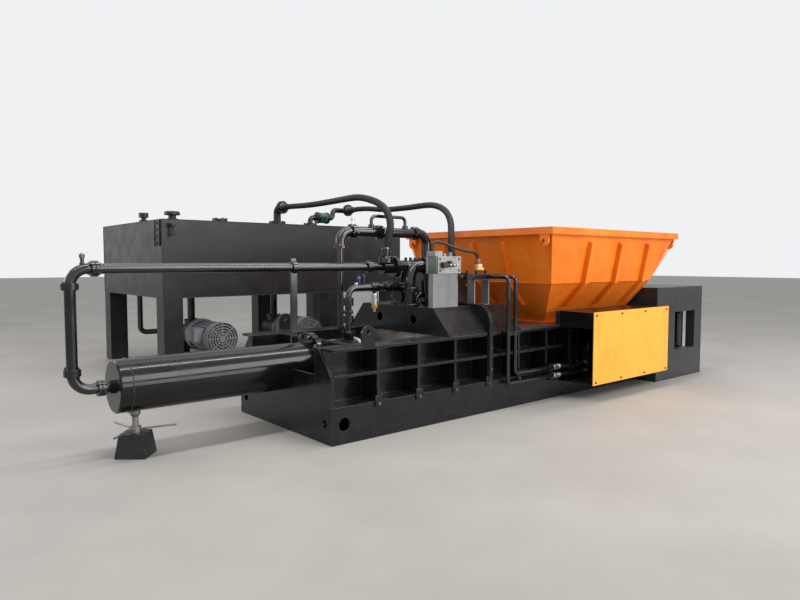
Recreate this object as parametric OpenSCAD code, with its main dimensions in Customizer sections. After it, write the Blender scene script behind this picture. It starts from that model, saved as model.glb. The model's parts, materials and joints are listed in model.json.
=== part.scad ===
// Horizontal baler with a hopper, a main ram, a lifting gate and a separate power unit.
// X runs along the press towards the gate, Y across it to the power unit, Z up from the floor.
// The origin is on the floor, on the press axis, at the cylinder end of the base.

/* [Base] */
// Length of the base under the press
base_len = 4490; // [4200:10:4800]
// Half width of the base and of the ribbed body
base_half = 778; // [740:1:820]
// Height of the base sills
base_h = 300; // [260:1:320]
// Plate thickness of the base webs
base_web = 25; // [16:1:40]
// Diameter of the lifting bar holes
lift_hole_d = 110; // [80:1:130]
// Distance of the lifting holes from the end of the base
lift_hole_x = 120; // [100:1:180]

/* [Press body] */
// Top of the ribbed side walls above the floor
body_top = 760; // [755:1:800]
// Half width of the pressing channel
bore_half = 533; // [500:1:560]
// Thickness of the side wall skin
skin_t = 30; // [20:1:40]
// Thickness of the upright ribs and of the top flange
rib_t = 22; // [16:1:30]
// Spacing of the upright ribs
rib_pitch = 450; // [380:5:520]
// Height of the horizontal stiffener above the floor
rail_z = 530; // [450:1:600]
// Thickness of the channel floor
floor_t = 30; // [20:1:35]
// Distance of the cylinder mounting plate from the end of the base
mount_x = 300; // [250:5:380]
// Thickness of the cylinder mounting plate
mount_t = 60; // [40:1:90]
// Height of the saddle plate at the end of the body
saddle_top = 540; // [480:1:600]
// Thickness of the deck plate beside the hopper
deck_t = 20; // [12:1:25]
// Height of the lifting lug above the body
lug_h = 168; // [120:1:200]
// Width of the bevel at the corner of the left end plates
bevel_w = 186; // [150:1:200]
// Height of that bevel
bevel_h = 234; // [200:1:260]
// Sideways shift of the far lifting lug against the near one
lug_shift = 113; // [80:1:140]
// Hole in the lifting lug
lug_hole_d = 40; // [25:1:60]

/* [Main cylinder] */
// Height of the press axis above the floor
cyl_z = 537; // [535:1:545]
// Outside diameter of the cylinder
cyl_od = 400; // [380:1:405]
// Bore of the cylinder
cyl_bore = 320; // [280:1:330]
// How far the cylinder stands out beyond the base
cyl_reach = 1393; // [1350:1:1450]
// Distance from the end of the base to the gland end of the barrel
cyl_end = 760; // [700:5:820]
// Thickness of the end cap
cap_t = 90; // [60:1:120]
// Length of the gland inside the barrel
gland_t = 160; // [100:1:180]
// Diameter of the piston rod
rod_d = 220; // [180:1:240]
// Thickness of the piston
piston_t = 180; // [140:1:200]
// Outside diameter of the mounting flange on the barrel
flange_od = 560; // [520:2:600]
// Thickness of the mounting flange
flange_t = 55; // [40:1:80]
// Number of bolts in the mounting flange
flange_bolts = 10; // [6:2:14]

/* [Ram] */
// Length of the ram
ram_len = 1560; // [1500:5:1600]
// Place of the ram face when it is drawn back
ram_face = 2925; // [2900:1:2950]
// Thickness of the wear shoes on the ram
shoe_t = 19.5; // [12:0.5:30]
// Running gap between the shoes and the channel
shoe_gap = 0.5; // [0.3:0.1:0.9]
// Gap above the ram
ram_top_gap = 10; // [5:1:20]
// Width of the shear blade on the ram
blade_w = 40; // [25:1:60]
// Height of the shear blade
blade_h = 60; // [40:1:80]

/* [Hood and strap] */
// Start of the raised hood
hood_x = 1300; // [1250:5:1340]
// Length of the raised hood
hood_len = 990; // [920:5:1080]
// Top of the raised hood above the floor
hood_top = 1015; // [960:1:1020]
// Half width of the flat top of the hood
hood_half = 540; // [500:1:560]
// Plate thickness of the hood
hood_t = 20; // [12:1:30]
// Start of the strap frame over the hood
strap_x = 1802; // [1780:1:1830]
// Width of the strap frame
strap_w = 45; // [30:1:60]
// Thickness of the strap frame plate
strap_t = 22; // [16:1:26]
// Outer corner radius of the strap frame
strap_r = 180; // [120:1:200]
// Start of the short side strap under the guard box
side_strap_x = 3085; // [3040:5:3120]
// Width of the short side strap
side_strap_w = 177; // [140:1:200]

/* [End frame] */
// Length of the end frame
end_len = 1150; // [1050:5:1250]
// Half width of the end frame
end_half = 1049; // [1020:1:1080]
// Height of the end frame
end_h = 1135; // [1100:1:1180]
// Thickness of the side walls of the end frame
wall_t = 115; // [90:1:130]
// Distance of the side window from the start of the end frame
window_x = 440; // [380:5:480]
// Width of the side window
window_w = 520; // [440:5:560]
// Height of the window sill above the floor
window_z = 350; // [320:1:400]
// Height of the side window
window_h = 476; // [420:1:520]
// Thickness of the top of the end frame
top_t = 50; // [30:1:60]
// Thickness of the upright plate at the start of the end frame
end_plate_t = 40; // [25:1:60]
// Distance of the gate from the start of the end frame
gate_x = 840; // [780:5:880]
// Thickness of the gate
gate_t = 120; // [80:1:140]
// Lift of the gate
gate_lift = 400; // [300:5:400]
// Running gap round the gate
gate_gap = 0.5; // [0.3:0.1:0.9]
// Depth of the guide slots at the edges of the gate
gate_bite = 60; // [40:1:70]
// Outside diameter of the gate cylinders
gate_cyl_od = 130; // [110:1:140]
// Bore of the gate cylinders
gate_cyl_bore = 90; // [70:1:100]
// Rod diameter of the gate cylinders
gate_rod_d = 60; // [45:1:65]

/* [Hopper] */
// Left edge of the hopper rim
rim_left = 2370; // [2300:5:2440]
// Right edge of the hopper rim
rim_right = 4880; // [4800:5:4960]
// Half width of the hopper rim
rim_half = 1090; // [1040:5:1140]
// Top of the rim above the floor
rim_top = 1790; // [1740:5:1840]
// Height of the rim band
rim_h = 70; // [50:1:90]
// Width of the rim band
rim_w = 40; // [30:1:60]
// Height of the bend between the two slopes
kink_z = 1230; // [1190:5:1270]
// Left side of the hopper at the bend
kink_left = 2540; // [2500:5:2600]
// Half width of the hopper at the bend
kink_half = 950; // [900:5:980]
// Left side of the throat
throat_left = 2990; // [2960:5:3020]
// Right side of the throat and of the upright end wall
throat_right = 4430; // [4400:5:4440]
// Sheet thickness of the hopper
hopper_t = 10; // [6:1:16]
// Width of the flange round the throat
throat_flange = 60; // [40:1:60]
// Spacing of the stiffening ribs on the long sides
hopper_rib_pitch = 575; // [520:5:620]
// Spacing of the stiffening ribs on the short sides
hopper_end_pitch = 440; // [380:5:480]
// Width of each stiffening rib
hopper_rib_w = 60; // [40:1:80]
// Depth of each stiffening rib
hopper_rib_d = 50; // [30:1:70]

/* [Guard box] */
// Start of the guard box
guard_x = 2935; // [2900:5:2980]
// Length of the guard box
guard_len = 1540; // [1480:5:1550]
// Distance of the guard box front from the press axis
guard_y = 1192; // [1150:1:1230]
// Bottom of the guard box above the floor
guard_z = 172; // [150:1:200]
// Top of the guard box above the floor
guard_top = 925; // [900:1:950]
// Sheet thickness of the guard box
guard_t = 8; // [5:1:12]
// Thickness of the bolted cover
cover_t = 6; // [4:1:10]

/* [Pipes] */
// Outside diameter of the feed pipe
feed_d = 76; // [60:1:90]
// Height of the long feed pipe above the floor
feed_z = 1399; // [1360:1:1440]
// Distance of the riser beyond the end of the base
riser_x = 1660; // [1620:5:1700]
// Bend radius of the feed pipe
feed_bend = 120; // [100:1:130]
// Outside diameter of the rod side pipe
rod_pipe_d = 60; // [45:1:70]
// Height of the rod side pipe above the floor
rod_pipe_z = 1205; // [1180:1:1230]
// Outside diameter of the upper pipe
upper_d = 100; // [90:1:120]
// Height of the upper pipe above the floor
upper_z = 1740; // [1700:1:1770]
// Distance of the upper pipe from the press axis
upper_y = 130; // [120:1:160]
// Outside diameter of the front tubes
tube_d = 42; // [30:1:48]
// Distance of the front tubes from the press axis
tube_y = 832; // [830:1:845]
// Width of the rim of a bolted union
union_rim = 20; // [14:1:26]
// Thickness of one half of a bolted union
union_t = 22; // [16:1:30]

/* [Screw jack] */
// Distance of the jack beyond the end of the base
jack_x = 1240; // [1180:5:1300]
// Height of the jack block
jack_h = 175; // [150:1:190]
// Side of the jack block at the floor
jack_w = 228; // [200:1:250]
// Side of the jack block at its top
jack_top_w = 180; // [150:1:190]
// Diameter of the jack screw
jack_d = 46; // [36:1:56]
// Travel of the jack screw
jack_travel = 60; // [40:1:80]
// Length of each tommy bar from the axis
tommy_len = 292; // [250:2:310]

/* [Power unit] */
// Start of the oil tank along X
tank_x = 20; // [0:5:60]
// Length of the oil tank
tank_len = 3740; // [3600:10:3900]
// Distance of the tank front from the press axis
tank_y = 2850; // [2750:10:2950]
// Depth of the oil tank
tank_w = 2400; // [2200:10:2500]
// Bottom of the oil tank above the floor
tank_z = 1000; // [960:5:1040]
// Height of the oil tank
tank_h = 965; // [900:5:1000]
// Plate thickness of the tank
tank_t = 8; // [5:1:12]
// Width of each tank leg
leg_w = 240; // [180:5:280]
// Outside diameter of the motors
motor_d = 410; // [360:1:440]
// Height of the motor axis above the floor
motor_z = 475; // [440:1:500]
// Length of each motor frame
motor_len = 620; // [560:5:700]
// Place of the first motor along X
motor_x = 705; // [680:5:760]
// Spacing of the motors
motor_pitch = 1280; // [1200:5:1340]
// Diameter of the motor shafts
shaft_d = 65; // [50:1:80]
// Outside diameter of the pumps
pump_d = 230; // [200:1:260]
// Length of the pumps
pump_len = 300; // [260:5:340]

/* [Hoses] */
// Outside diameter of the large hoses
hose_d = 72; // [64:1:78]
// Outside diameter of the gate hoses
gate_hose_d = 40; // [32:1:44]

/* [Hidden] */
$fn = 48;

// Small overlap past a cut face
cut = 1;
// Clear gap between faces that only stand close
near = 0.3;
// Running clearance on the diameter of a rod or a shaft
fit = 0.1;
// Gap under a piece that sits on a round face, and the gap at a weld line
seat = 0.2;

// Paint colours as the machine shows them
c_black = [0.10, 0.10, 0.11];
c_grey = [0.30, 0.30, 0.32];
c_orange = [0.90, 0.35, 0.06];
c_yellow = [0.95, 0.68, 0.22];
c_steel = [0.66, 0.67, 0.68];
c_tank = [0.14, 0.14, 0.16];
c_rubber = [0.16, 0.15, 0.13];

// Heights and places that follow from the driving sizes
floor_top = base_h + floor_t;
deck_top = body_top + deck_t;
ram_bottom = floor_top + shoe_gap + shoe_t;
ram_top = body_top - ram_top_gap;
ram_half = bore_half - shoe_gap - shoe_t;
ram_back = ram_face - ram_len;
stroke = throat_right - 25 - ram_face;
cap_in = -cyl_reach + cap_t;
cap_spigot = 40;
piston_x = cap_in + cap_spigot + 10;
rod_socket = 60;
end_x = base_len;
end_far = end_x + end_len;
gate_x0 = end_x + gate_x;
gate_half = bore_half + gate_bite;
gap_mid = (base_half + end_half - wall_t) / 2;
wing_half = end_half - wall_t - 18;
wing_h = top_t + 5;
cap_h = 40;
gate_piston_t = 60;
gate_cyl_h = gate_lift + gate_piston_t + 2 * cap_h + 20;
gate_cyl_x = gate_x0 + gate_t / 2;
slope_run = base_half - hood_half;
slope_rise = hood_top - body_top;
tube_x = [strap_x + 228, strap_x + 333];
tube_low = [255, 345];
tube_end = guard_x - 245;
tube_top = 1300;
portal_top = 1275;
manifold_y = 150;
manifold_top = 1330;
manifold_x = 1560;
manifold_len = 640;
stand_y = 60;
stand_w = 327;
block_y = 157;
stand_top = 1335;
stand_x = hood_x + 2;
block_h = 165;
jack_pad = 22;
jack_under = cyl_z - cyl_od / 2;
nut_h = 46;
tank_top = tank_z + tank_h;
fan_y = tank_y - 150;
// The two hose ports of the tank and the two on the press
return_x = 1690;
return_z = 2190;
supply_x = 2790;
supply_z = 2205;
return_port = 1170;
supply_port = 2104;
drive_y = fan_y + 60 + motor_len;

// Cross-section helpers: a 2D drawing in Y and Z runs along X, or one in X and Z along Y
module along_x(x, len) {
    translate([x, 0, 0]) rotate([90, 0, 90]) linear_extrude(len) children();
}
module along_y(y, len) {
    translate([0, y + len, 0]) rotate([90, 0, 0]) linear_extrude(len) children();
}
// Box between two corners
module box(a, b) {
    translate(a) cube(b - a);
}
module both_sides() {
    children();
    mirror([0, 1, 0]) children();
}
// Stands the children's Z axis along a direction at a point
module aim(p, dir) {
    len = norm(dir);
    translate(p) rotate([0, acos(dir[2] / len), atan2(dir[1], dir[0])]) children();
}
module bar(a, b, d) {
    aim(a, b - a) cylinder(d = d, h = norm(b - a));
}

// Pipe along straight stretches with round bends at the corners
function unit(v) = v / norm(v);
function way(pts, i) = unit(pts[i + 1] - pts[i]);
function turn(pts, i) = acos(way(pts, i - 1) * way(pts, i));
function trim(pts, i, r) = (i == 0 || i == len(pts) - 1) ? 0 : r * tan(turn(pts, i) / 2);
module elbow(p, u, v, r, d) {
    ang = acos(u * v);
    n = unit(v - (u * v) * u);
    c = p - u * r * tan(ang / 2) + n * r;
    w = cross(-n, u);
    multmatrix([
        [-n[0], u[0], w[0], c[0]],
        [-n[1], u[1], w[1], c[1]],
        [-n[2], u[2], w[2], c[2]],
        [0, 0, 0, 1]
    ]) rotate_extrude(angle = ang) translate([r, 0]) circle(d = d);
}
module pipe(pts, d, r) {
    for (i = [0:len(pts) - 2]) {
        u = way(pts, i);
        bar(pts[i] + u * trim(pts, i, r), pts[i + 1] - u * trim(pts, i + 1, r), d);
    }
    if (len(pts) > 2) {
        for (i = [1:len(pts) - 2]) elbow(pts[i], way(pts, i - 1), way(pts, i), r, d);
    }
}
// Pair of bolted rings on a pipe
module pipe_union(p, dir, d, bolts = 4) {
    od = d + 2 * union_rim;
    aim(p, dir) {
        for (s = [-1, 1]) translate([0, 0, s * (union_t / 2 + 2)]) cylinder(d = od, h = union_t, center = true);
        for (k = [0:bolts - 1]) rotate(45 + k * 360 / bolts) translate([od / 2 - 9, 0, 0]) {
            cylinder(d = 12, h = 2 * union_t + 34, center = true);
            for (s = [-1, 1]) translate([0, 0, s * (union_t + 6)]) cylinder(d = 20, h = 10, center = true, $fn = 6);
        }
    }
}
// Blind or end flange with a bolt circle
module bolt_flange(p, dir, d, t, bolts, bolt_d) {
    aim(p, dir) {
        cylinder(d = d, h = t);
        for (k = [0:bolts - 1]) rotate((k + 0.5) * 360 / bolts) translate([d / 2 - bolt_d, 0, 0])
            cylinder(d = 1.7 * bolt_d, h = t + 0.7 * bolt_d, $fn = 6);
    }
}
// Loft through level rectangles, each given as left, right, half width and height
module loft(rings) {
    n = len(rings);
    pts = [for (r = rings) each [
        [r[0], -r[2], r[3]], [r[1], -r[2], r[3]], [r[1], r[2], r[3]], [r[0], r[2], r[3]]
    ]];
    sides = [for (k = [0:n - 2], j = [0:3]) [
        4 * k + j, 4 * (k + 1) + j, 4 * (k + 1) + (j + 1) % 4, 4 * k + (j + 1) % 4
    ]];
    last = 4 * (n - 1);
    polyhedron(pts, concat([[0, 1, 2, 3]], sides, [[last + 3, last + 2, last + 1, last]]));
}
// Hose tube swept along its own route points
module hose_tube(pts, d, sides, ref) {
    n = len(pts);
    rings = [for (i = [0:n - 1])
        let (t = unit(pts[min(i + 1, n - 1)] - pts[max(i - 1, 0)]))
        let (a = unit(cross(ref, t)), b = cross(t, a))
        for (k = [0:sides - 1])
            pts[i] + d / 2 * (cos(360 * k / sides) * a + sin(360 * k / sides) * b)
    ];
    walls = [for (i = [0:n - 2], k = [0:sides - 1]) [
        i * sides + k, (i + 1) * sides + k,
        (i + 1) * sides + (k + 1) % sides, i * sides + (k + 1) % sides
    ]];
    start = [for (k = [0:sides - 1]) k];
    stop = [for (k = [sides - 1:-1:0]) (n - 1) * sides + k];
    polyhedron(rings, concat([start], walls, [stop]));
}

// Hose routes, from the exit to the far fitting
return_route = [
    [1690, 2880, 2190], [1690, 2780, 2190], [1690, 2625, 2187], [1690, 2475, 2182],
    [1685, 2320, 2178], [1675, 2170, 2175], [1660, 2015, 2173], [1638, 1865, 2171],
    [1610, 1715, 2169], [1576, 1565, 2166], [1538, 1420, 2162], [1498, 1270, 2159],
    [1456, 1125, 2154], [1415, 975, 2150], [1376, 830, 2145], [1341, 680, 2135],
    [1312, 535, 2116], [1288, 385, 2084], [1270, 240, 2040], [1254, 105, 1966],
    [1236, 10, 1840], [1198, -14, 1684], [1170, 0, 1520], [1170, 0, 1480]
];
supply_route = [
    [2790, 2880, 2205], [2790, 2780, 2205], [2787, 2625, 2207], [2781, 2470, 2203],
    [2771, 2315, 2191], [2757, 2160, 2175], [2739, 2010, 2160], [2717, 1855, 2151],
    [2690, 1700, 2146], [2660, 1550, 2142], [2626, 1400, 2138], [2589, 1250, 2135],
    [2549, 1100, 2133], [2506, 950, 2130], [2460, 800, 2124], [2412, 655, 2111],
    [2361, 510, 2085], [2308, 370, 2042], [2252, 242, 1976], [2193, 135, 1878],
    [2136, 67, 1749], [2098, 30, 1601], [2104, 0, 1450], [2104, 0, 1390]
];
gate_upper_route = [
    [2800, -832, 345], [2836, -832, 345], [2872, -832, 343], [2908, -833, 340],
    [2944, -835, 335], [2980, -838, 330], [3016, -841, 325], [3052, -844, 321],
    [3088, -847, 320], [3124, -850, 322], [3160, -853, 327], [3196, -855, 334],
    [3232, -856, 340], [3268, -856, 345], [3300, -856, 345]
];
gate_lower_route = [
    [2800, -832, 255], [2836, -832, 255], [2872, -832, 255], [2908, -833, 254],
    [2944, -835, 252], [2980, -838, 250], [3016, -841, 248], [3052, -844, 247],
    [3088, -847, 246], [3124, -850, 247], [3160, -853, 249], [3196, -855, 252],
    [3232, -856, 254], [3268, -856, 255], [3300, -856, 255]
];

// Two deep sills, cross webs and end plates in one welded box with a bottom plate
module base_frame() {
    bays = floor(base_len / rib_pitch);
    bay_w = (2 * base_half - 4 * base_web) / 3;
    color(c_black) difference() {
        box([0, -base_half, 0], [base_len, base_half, base_h]);
        for (k = [0:bays - 1], j = [0:2]) {
            x0 = k * rib_pitch + base_web;
            x1 = (k == bays - 1) ? base_len - base_web : (k + 1) * rib_pitch;
            y0 = -base_half + base_web + j * (bay_w + base_web);
            box([x0, y0, base_web], [x1, y0 + bay_w, base_h - base_web]);
        }
        translate([lift_hole_x, 0, base_h / 2 + 8]) rotate([90, 0, 0])
            cylinder(d = lift_hole_d, h = 2 * base_half + 2 * cut, center = true);
        for (s = [-1, 1]) translate([-cut, s * 670, base_h / 2 + 8]) rotate([0, 90, 0])
            cylinder(d = 70, h = base_web + 2 * cut);
    }
}

// Channel floor, saddle plate and mounting plate between the side walls
module press_body() {
    inner = bore_half - seat;
    color(c_black) {
        box([0, -bore_half, base_h], [base_len, bore_half, floor_top]);
        difference() {
            box([0, -inner, floor_top + seat], [rib_t, inner, saddle_top]);
            translate([-cut, 0, cyl_z]) rotate([0, 90, 0])
                cylinder(d = cyl_od + 2 * near, h = rib_t + 2 * cut);
        }
        difference() {
            box([mount_x, -inner, floor_top + seat], [mount_x + mount_t, inner, body_top]);
            translate([mount_x - cut, 0, cyl_z]) rotate([0, 90, 0])
                cylinder(d = cyl_od + 2 * near, h = mount_t + 2 * cut);
        }
    }
}

// Ribbed side walls with their stiffeners, side straps, bevelled end plates and lugs
rail_end = guard_x + 67;
module side_wall(lug_x) {
    difference() {
        union() {
            box([0, bore_half, base_h], [base_len, bore_half + skin_t, body_top]);
            for (x = [0:rib_pitch:base_len - rib_t])
                box([x, bore_half, base_h], [x + rib_t, base_half, body_top]);
            box([base_len - rib_t, bore_half, base_h], [base_len, base_half, body_top]);
            box([0, bore_half, rail_z], [rail_end, base_half, rail_z + rib_t]);
            box([0, bore_half, body_top - rib_t], [base_len, base_half, body_top]);
            box([side_strap_x, base_half - cut, base_h + 20],
                [side_strap_x + side_strap_w, base_half + strap_t, body_top - 10]);
        }
        along_x(-cut, rib_t + cut) polygon([
            [base_half - bevel_w, body_top], [base_half, body_top - bevel_h],
            [base_half + cut, body_top - bevel_h], [base_half + cut, body_top + cut],
            [base_half - bevel_w, body_top + cut]
        ]);
    }
    along_y(base_half - rib_t, rib_t) difference() {
        union() {
            translate([lug_x, body_top - cut]) square([130, lug_h - 65 + cut]);
            translate([lug_x + 65, body_top + lug_h - 65]) circle(r = 65);
        }
        translate([lug_x + 65, body_top + lug_h - 50]) circle(d = lug_hole_d);
    }
}
module side_walls() {
    color(c_black) {
        side_wall(mount_x + lug_shift);
        mirror([0, 1, 0]) side_wall(mount_x);
    }
}

// Flat plate from the hood to the end frame, with the throat cut through it
module deck_plate() {
    color(c_black) difference() {
        box([hood_x + hood_len, -base_half, body_top], [end_x, base_half, deck_top]);
        box([throat_left, -bore_half, body_top - cut], [throat_right, bore_half, deck_top + cut]);
    }
}

// Raised cover with sloping sides over the drawn-back ram
module hood_profile(t) {
    polygon([
        [-base_half + 1.6 * t, body_top], [-hood_half + 0.4 * t, hood_top - t],
        [hood_half - 0.4 * t, hood_top - t], [base_half - 1.6 * t, body_top]
    ]);
}
module hood() {
    color(c_black) difference() {
        along_x(hood_x, hood_len) hood_profile(0);
        along_x(hood_x + hood_t, hood_len - 2 * hood_t) hood_profile(hood_t);
        for (s = [-1, 1]) translate([hood_x - cut, s * 260, (body_top + hood_top) / 2])
            rotate([0, 90, 0]) cylinder(d = 90, h = hood_t + 2 * cut);
    }
}

// Flat strap that wraps the hood and the ribbed walls
module saddle_frame() {
    half = base_half + strap_t;
    top = hood_top + strap_t;
    color(c_black) along_x(strap_x, strap_w) difference() {
        union() {
            translate([-half, base_h + 5]) square([2 * half, top - strap_r - base_h - 5]);
            translate([-half + strap_r, base_h + 5]) square([2 * (half - strap_r), top - base_h - 5]);
            for (s = [-1, 1]) translate([s * (half - strap_r), top - strap_r]) circle(r = strap_r, $fn = 96);
        }
        translate([-base_half, base_h]) square([2 * base_half, body_top - base_h]);
        hood_profile(0);
    }
}

// Main cylinder: barrel with its mounting flange
module cylinder_barrel() {
    boss = rod_pipe_d + 40;
    color(c_black) {
        difference() {
            union() {
                translate([cap_in, 0, cyl_z]) rotate([0, 90, 0]) cylinder(d = cyl_od, h = cyl_end - cap_in);
                bar([rod_line_x, rod_line_y, cyl_z], [rod_line_x, rod_line_y, cyl_z + cyl_od / 2 + 30], boss);
                bar([upper_left, upper_y, cyl_z], [upper_left, upper_y, cyl_z + cyl_od / 2], boss - 24);
            }
            translate([cap_in - cut, 0, cyl_z]) rotate([0, 90, 0])
                cylinder(d = cyl_bore, h = cyl_end - cap_in + 2 * cut);
        }
        translate([mount_x - flange_t, 0, cyl_z]) rotate([0, 90, 0]) difference() {
            cylinder(d = flange_od, h = flange_t);
            translate([0, 0, -cut]) cylinder(d = cyl_od + 2 * seat, h = flange_t + 2 * cut);
            translate([cyl_z - floor_top - seat, -flange_od, -cut])
                cube([flange_od, 2 * flange_od, flange_t + 2 * cut]);
        }
    }
}
rod_line_x = 690;
rod_line_y = -40;
upper_left = rod_line_x + 31;

module cylinder_cap() {
    color(c_black) translate([-cyl_reach, 0, cyl_z]) rotate([0, 90, 0]) difference() {
        union() {
            rotate_extrude($fn = 96) polygon([
                [0, 0], [cyl_od / 2 - 12, 0], [cyl_od / 2, 12], [cyl_od / 2, cap_t],
                [cyl_bore / 2 - 0.1, cap_t], [cyl_bore / 2 - 0.1, cap_t + cap_spigot], [0, cap_t + cap_spigot]
            ]);
            translate([0, 0, -25]) cylinder(d = feed_d + 24, h = 26);
        }
        translate([0, 0, -26]) cylinder(d = feed_d - 16, h = cap_t + cap_spigot + 30);
    }
}

module cylinder_gland() {
    color(c_steel) translate([cyl_end - gland_t, 0, cyl_z]) rotate([0, 90, 0]) difference() {
        union() {
            cylinder(d = cyl_bore - 2 * fit, h = gland_t + 1);
            translate([0, 0, gland_t]) cylinder(d = cyl_od, h = 35);
            for (k = [0:11]) rotate(15 + k * 30) translate([cyl_od / 2 - 22, 0, gland_t + 34])
                cylinder(d = 30, h = 19, $fn = 6);
        }
        translate([0, 0, -cut]) cylinder(d = rod_d + fit, h = gland_t + 60);
    }
}

// Bolts that hold the cylinder flange to the mounting plate
module flange_bolts() {
    color(c_grey) for (k = [0:flange_bolts - 1])
        rotate_about_press(-135 + k * 270 / (flange_bolts - 1))
            translate([mount_x - flange_t - 20, 0, flange_od / 2 - 32]) rotate([0, 90, 0])
                cylinder(d = 38, h = 20, $fn = 6);
}
module rotate_about_press(a) {
    translate([0, 0, cyl_z]) rotate([a, 0, 0]) children();
}

module piston() {
    color(c_steel) translate([piston_x, 0, cyl_z]) rotate([0, 90, 0]) difference() {
        rotate_extrude($fn = 96) polygon([
            [70 + seat, 0], [cyl_bore / 2 - 8, 0], [cyl_bore / 2 - fit / 2, 8], [cyl_bore / 2 - fit / 2, 60],
            [cyl_bore / 2 - 6, 60], [cyl_bore / 2 - 6, 72], [cyl_bore / 2 - fit / 2, 72],
            [cyl_bore / 2 - fit / 2, piston_t - 72], [cyl_bore / 2 - 6, piston_t - 72],
            [cyl_bore / 2 - 6, piston_t - 60], [cyl_bore / 2 - fit / 2, piston_t - 60],
            [cyl_bore / 2 - fit / 2, piston_t - 8], [cyl_bore / 2 - 8, piston_t], [70 + seat, piston_t]
        ]);
    }
}

module piston_rod() {
    color(c_steel) translate([piston_x, 0, cyl_z]) rotate([0, 90, 0]) {
        cylinder(d = 140, h = piston_t + 1);
        translate([0, 0, piston_t]) cylinder(d = rod_d, h = ram_back + rod_socket - piston_x - piston_t);
    }
}

// Hollow welded ram with closed cells between its cross webs
module ram() {
    web = 40;
    cells = 3;
    cell = (ram_len - 80 - 120 - (cells - 1) * web) / cells;
    color(c_grey) difference() {
        box([ram_back, -ram_half, ram_bottom], [ram_face, ram_half, ram_top]);
        for (k = [0:cells - 1]) both_sides()
            box([ram_back + 120 + k * (cell + web), web / 2, ram_bottom + 30],
                [ram_back + 120 + k * (cell + web) + cell, ram_half - 90, ram_top - 45]);
        translate([ram_back - cut, 0, cyl_z]) rotate([0, 90, 0]) cylinder(d = rod_d + 1, h = rod_socket + cut);
        box([ram_face - blade_w, -ram_half - cut, ram_top - blade_h],
            [ram_face + cut, ram_half + cut, ram_top + cut]);
    }
}

// Wear strips under the ram and along its sides, and the shear blade on its edge
module ram_liners() {
    color(c_steel) {
        both_sides() {
            box([ram_back + 20, ram_half - 85, ram_bottom - shoe_t], [ram_face - 20, ram_half - 5, ram_bottom]);
            for (z = [ram_bottom + 30, ram_top - blade_h - 90])
                box([ram_back + 20, ram_half, z], [ram_face - 20, ram_half + shoe_t, z + 80]);
        }
        difference() {
            box([ram_face - blade_w, -ram_half, ram_top - blade_h], [ram_face, ram_half, ram_top]);
            for (k = [-3:3]) translate([ram_face - 12, k * 140, ram_top - blade_h / 2]) rotate([0, 90, 0])
                cylinder(d = 24, h = 12 + cut);
        }
    }
}

// Front plate, top and base of the tall frame that holds the bale chamber
wall_in = end_half - wall_t;
module end_frame() {
    x0 = end_x + end_plate_t + seat;
    color(c_grey) {
        difference() {
            box([end_x, -wall_in, 0], [end_x + end_plate_t, wall_in, end_h]);
            box([end_x - cut, -bore_half, floor_top], [end_x + end_plate_t + cut, bore_half, body_top]);
            for (i = [0, 1]) translate([end_x - cut, -gap_mid - line_dy[i], line_z[i]]) rotate([0, 90, 0])
                cylinder(d = 50, h = end_plate_t + 2 * cut);
        }
        difference() {
            box([x0, -wall_in, end_h - top_t], [end_far, wall_in, end_h]);
            box([gate_x0 - gate_gap, -wing_half - gate_gap, end_h - top_t - cut],
                [gate_x0 + gate_t + gate_gap, wing_half + gate_gap, end_h + cut]);
        }
        difference() {
            box([x0, -wall_in, 0], [end_far, wall_in, base_h]);
            for (i = [0, 1], j = [0:3]) {
                w = (end_far - x0 - 3 * base_web) / 2;
                d = (2 * wall_in - 5 * base_web) / 4;
                x = x0 + base_web + i * (w + base_web);
                y = -wall_in + base_web + j * (d + base_web);
                box([x, y, base_web], [x + w, y + d, base_h - 40]);
            }
        }
    }
}

// Thick side walls of that frame, each with its window
module end_walls() {
    color(c_grey) both_sides() difference() {
        box([end_x, wall_in, 0], [end_far, end_half, end_h]);
        box([end_x + window_x, wall_in - cut, window_z],
            [end_x + window_x + window_w, end_half + cut, window_z + window_h]);
    }
}

// Side walls, floor and roof of the bale chamber with the guides of the gate
module bale_chamber() {
    x0 = end_x + end_plate_t;
    post0 = gate_x0 - 90;
    post1 = gate_x0 + gate_t + 90;
    color(c_grey) difference() {
        union() {
            both_sides() {
                box([x0, bore_half, base_h], [end_far, base_half, body_top]);
                box([post0, bore_half, body_top - cut], [post1, base_half, end_h - top_t]);
            }
            box([x0, -bore_half - cut, base_h], [end_far, bore_half + cut, floor_top]);
            box([x0, -bore_half - cut, body_top], [post0, bore_half + cut, body_top + 40]);
            box([post0, -bore_half - cut, body_top], [gate_x0 - gate_gap, bore_half + cut, end_h - top_t]);
        }
        box([gate_x0 - gate_gap, -gate_half - gate_gap, floor_top],
            [gate_x0 + gate_t + gate_gap, gate_half + gate_gap, end_h]);
        box([gate_x0 - gate_gap, -base_half - cut, end_h - wing_h],
            [gate_x0 + gate_t + gate_gap, base_half + cut, end_h]);
    }
}

module discharge_gate() {
    low = floor_top + gate_gap;
    color(c_grey) difference() {
        along_x(gate_x0, gate_t) polygon([
            [-gate_half, low], [gate_half, low], [gate_half, end_h - wing_h], [wing_half, end_h - wing_h],
            [wing_half, end_h], [-wing_half, end_h], [-wing_half, end_h - wing_h], [-gate_half, end_h - wing_h]
        ]);
        for (y = [-330:220:330]) translate([gate_x0 - cut, y - 16, low - cut]) cube([22, 32, body_top - low]);
    }
}

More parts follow.
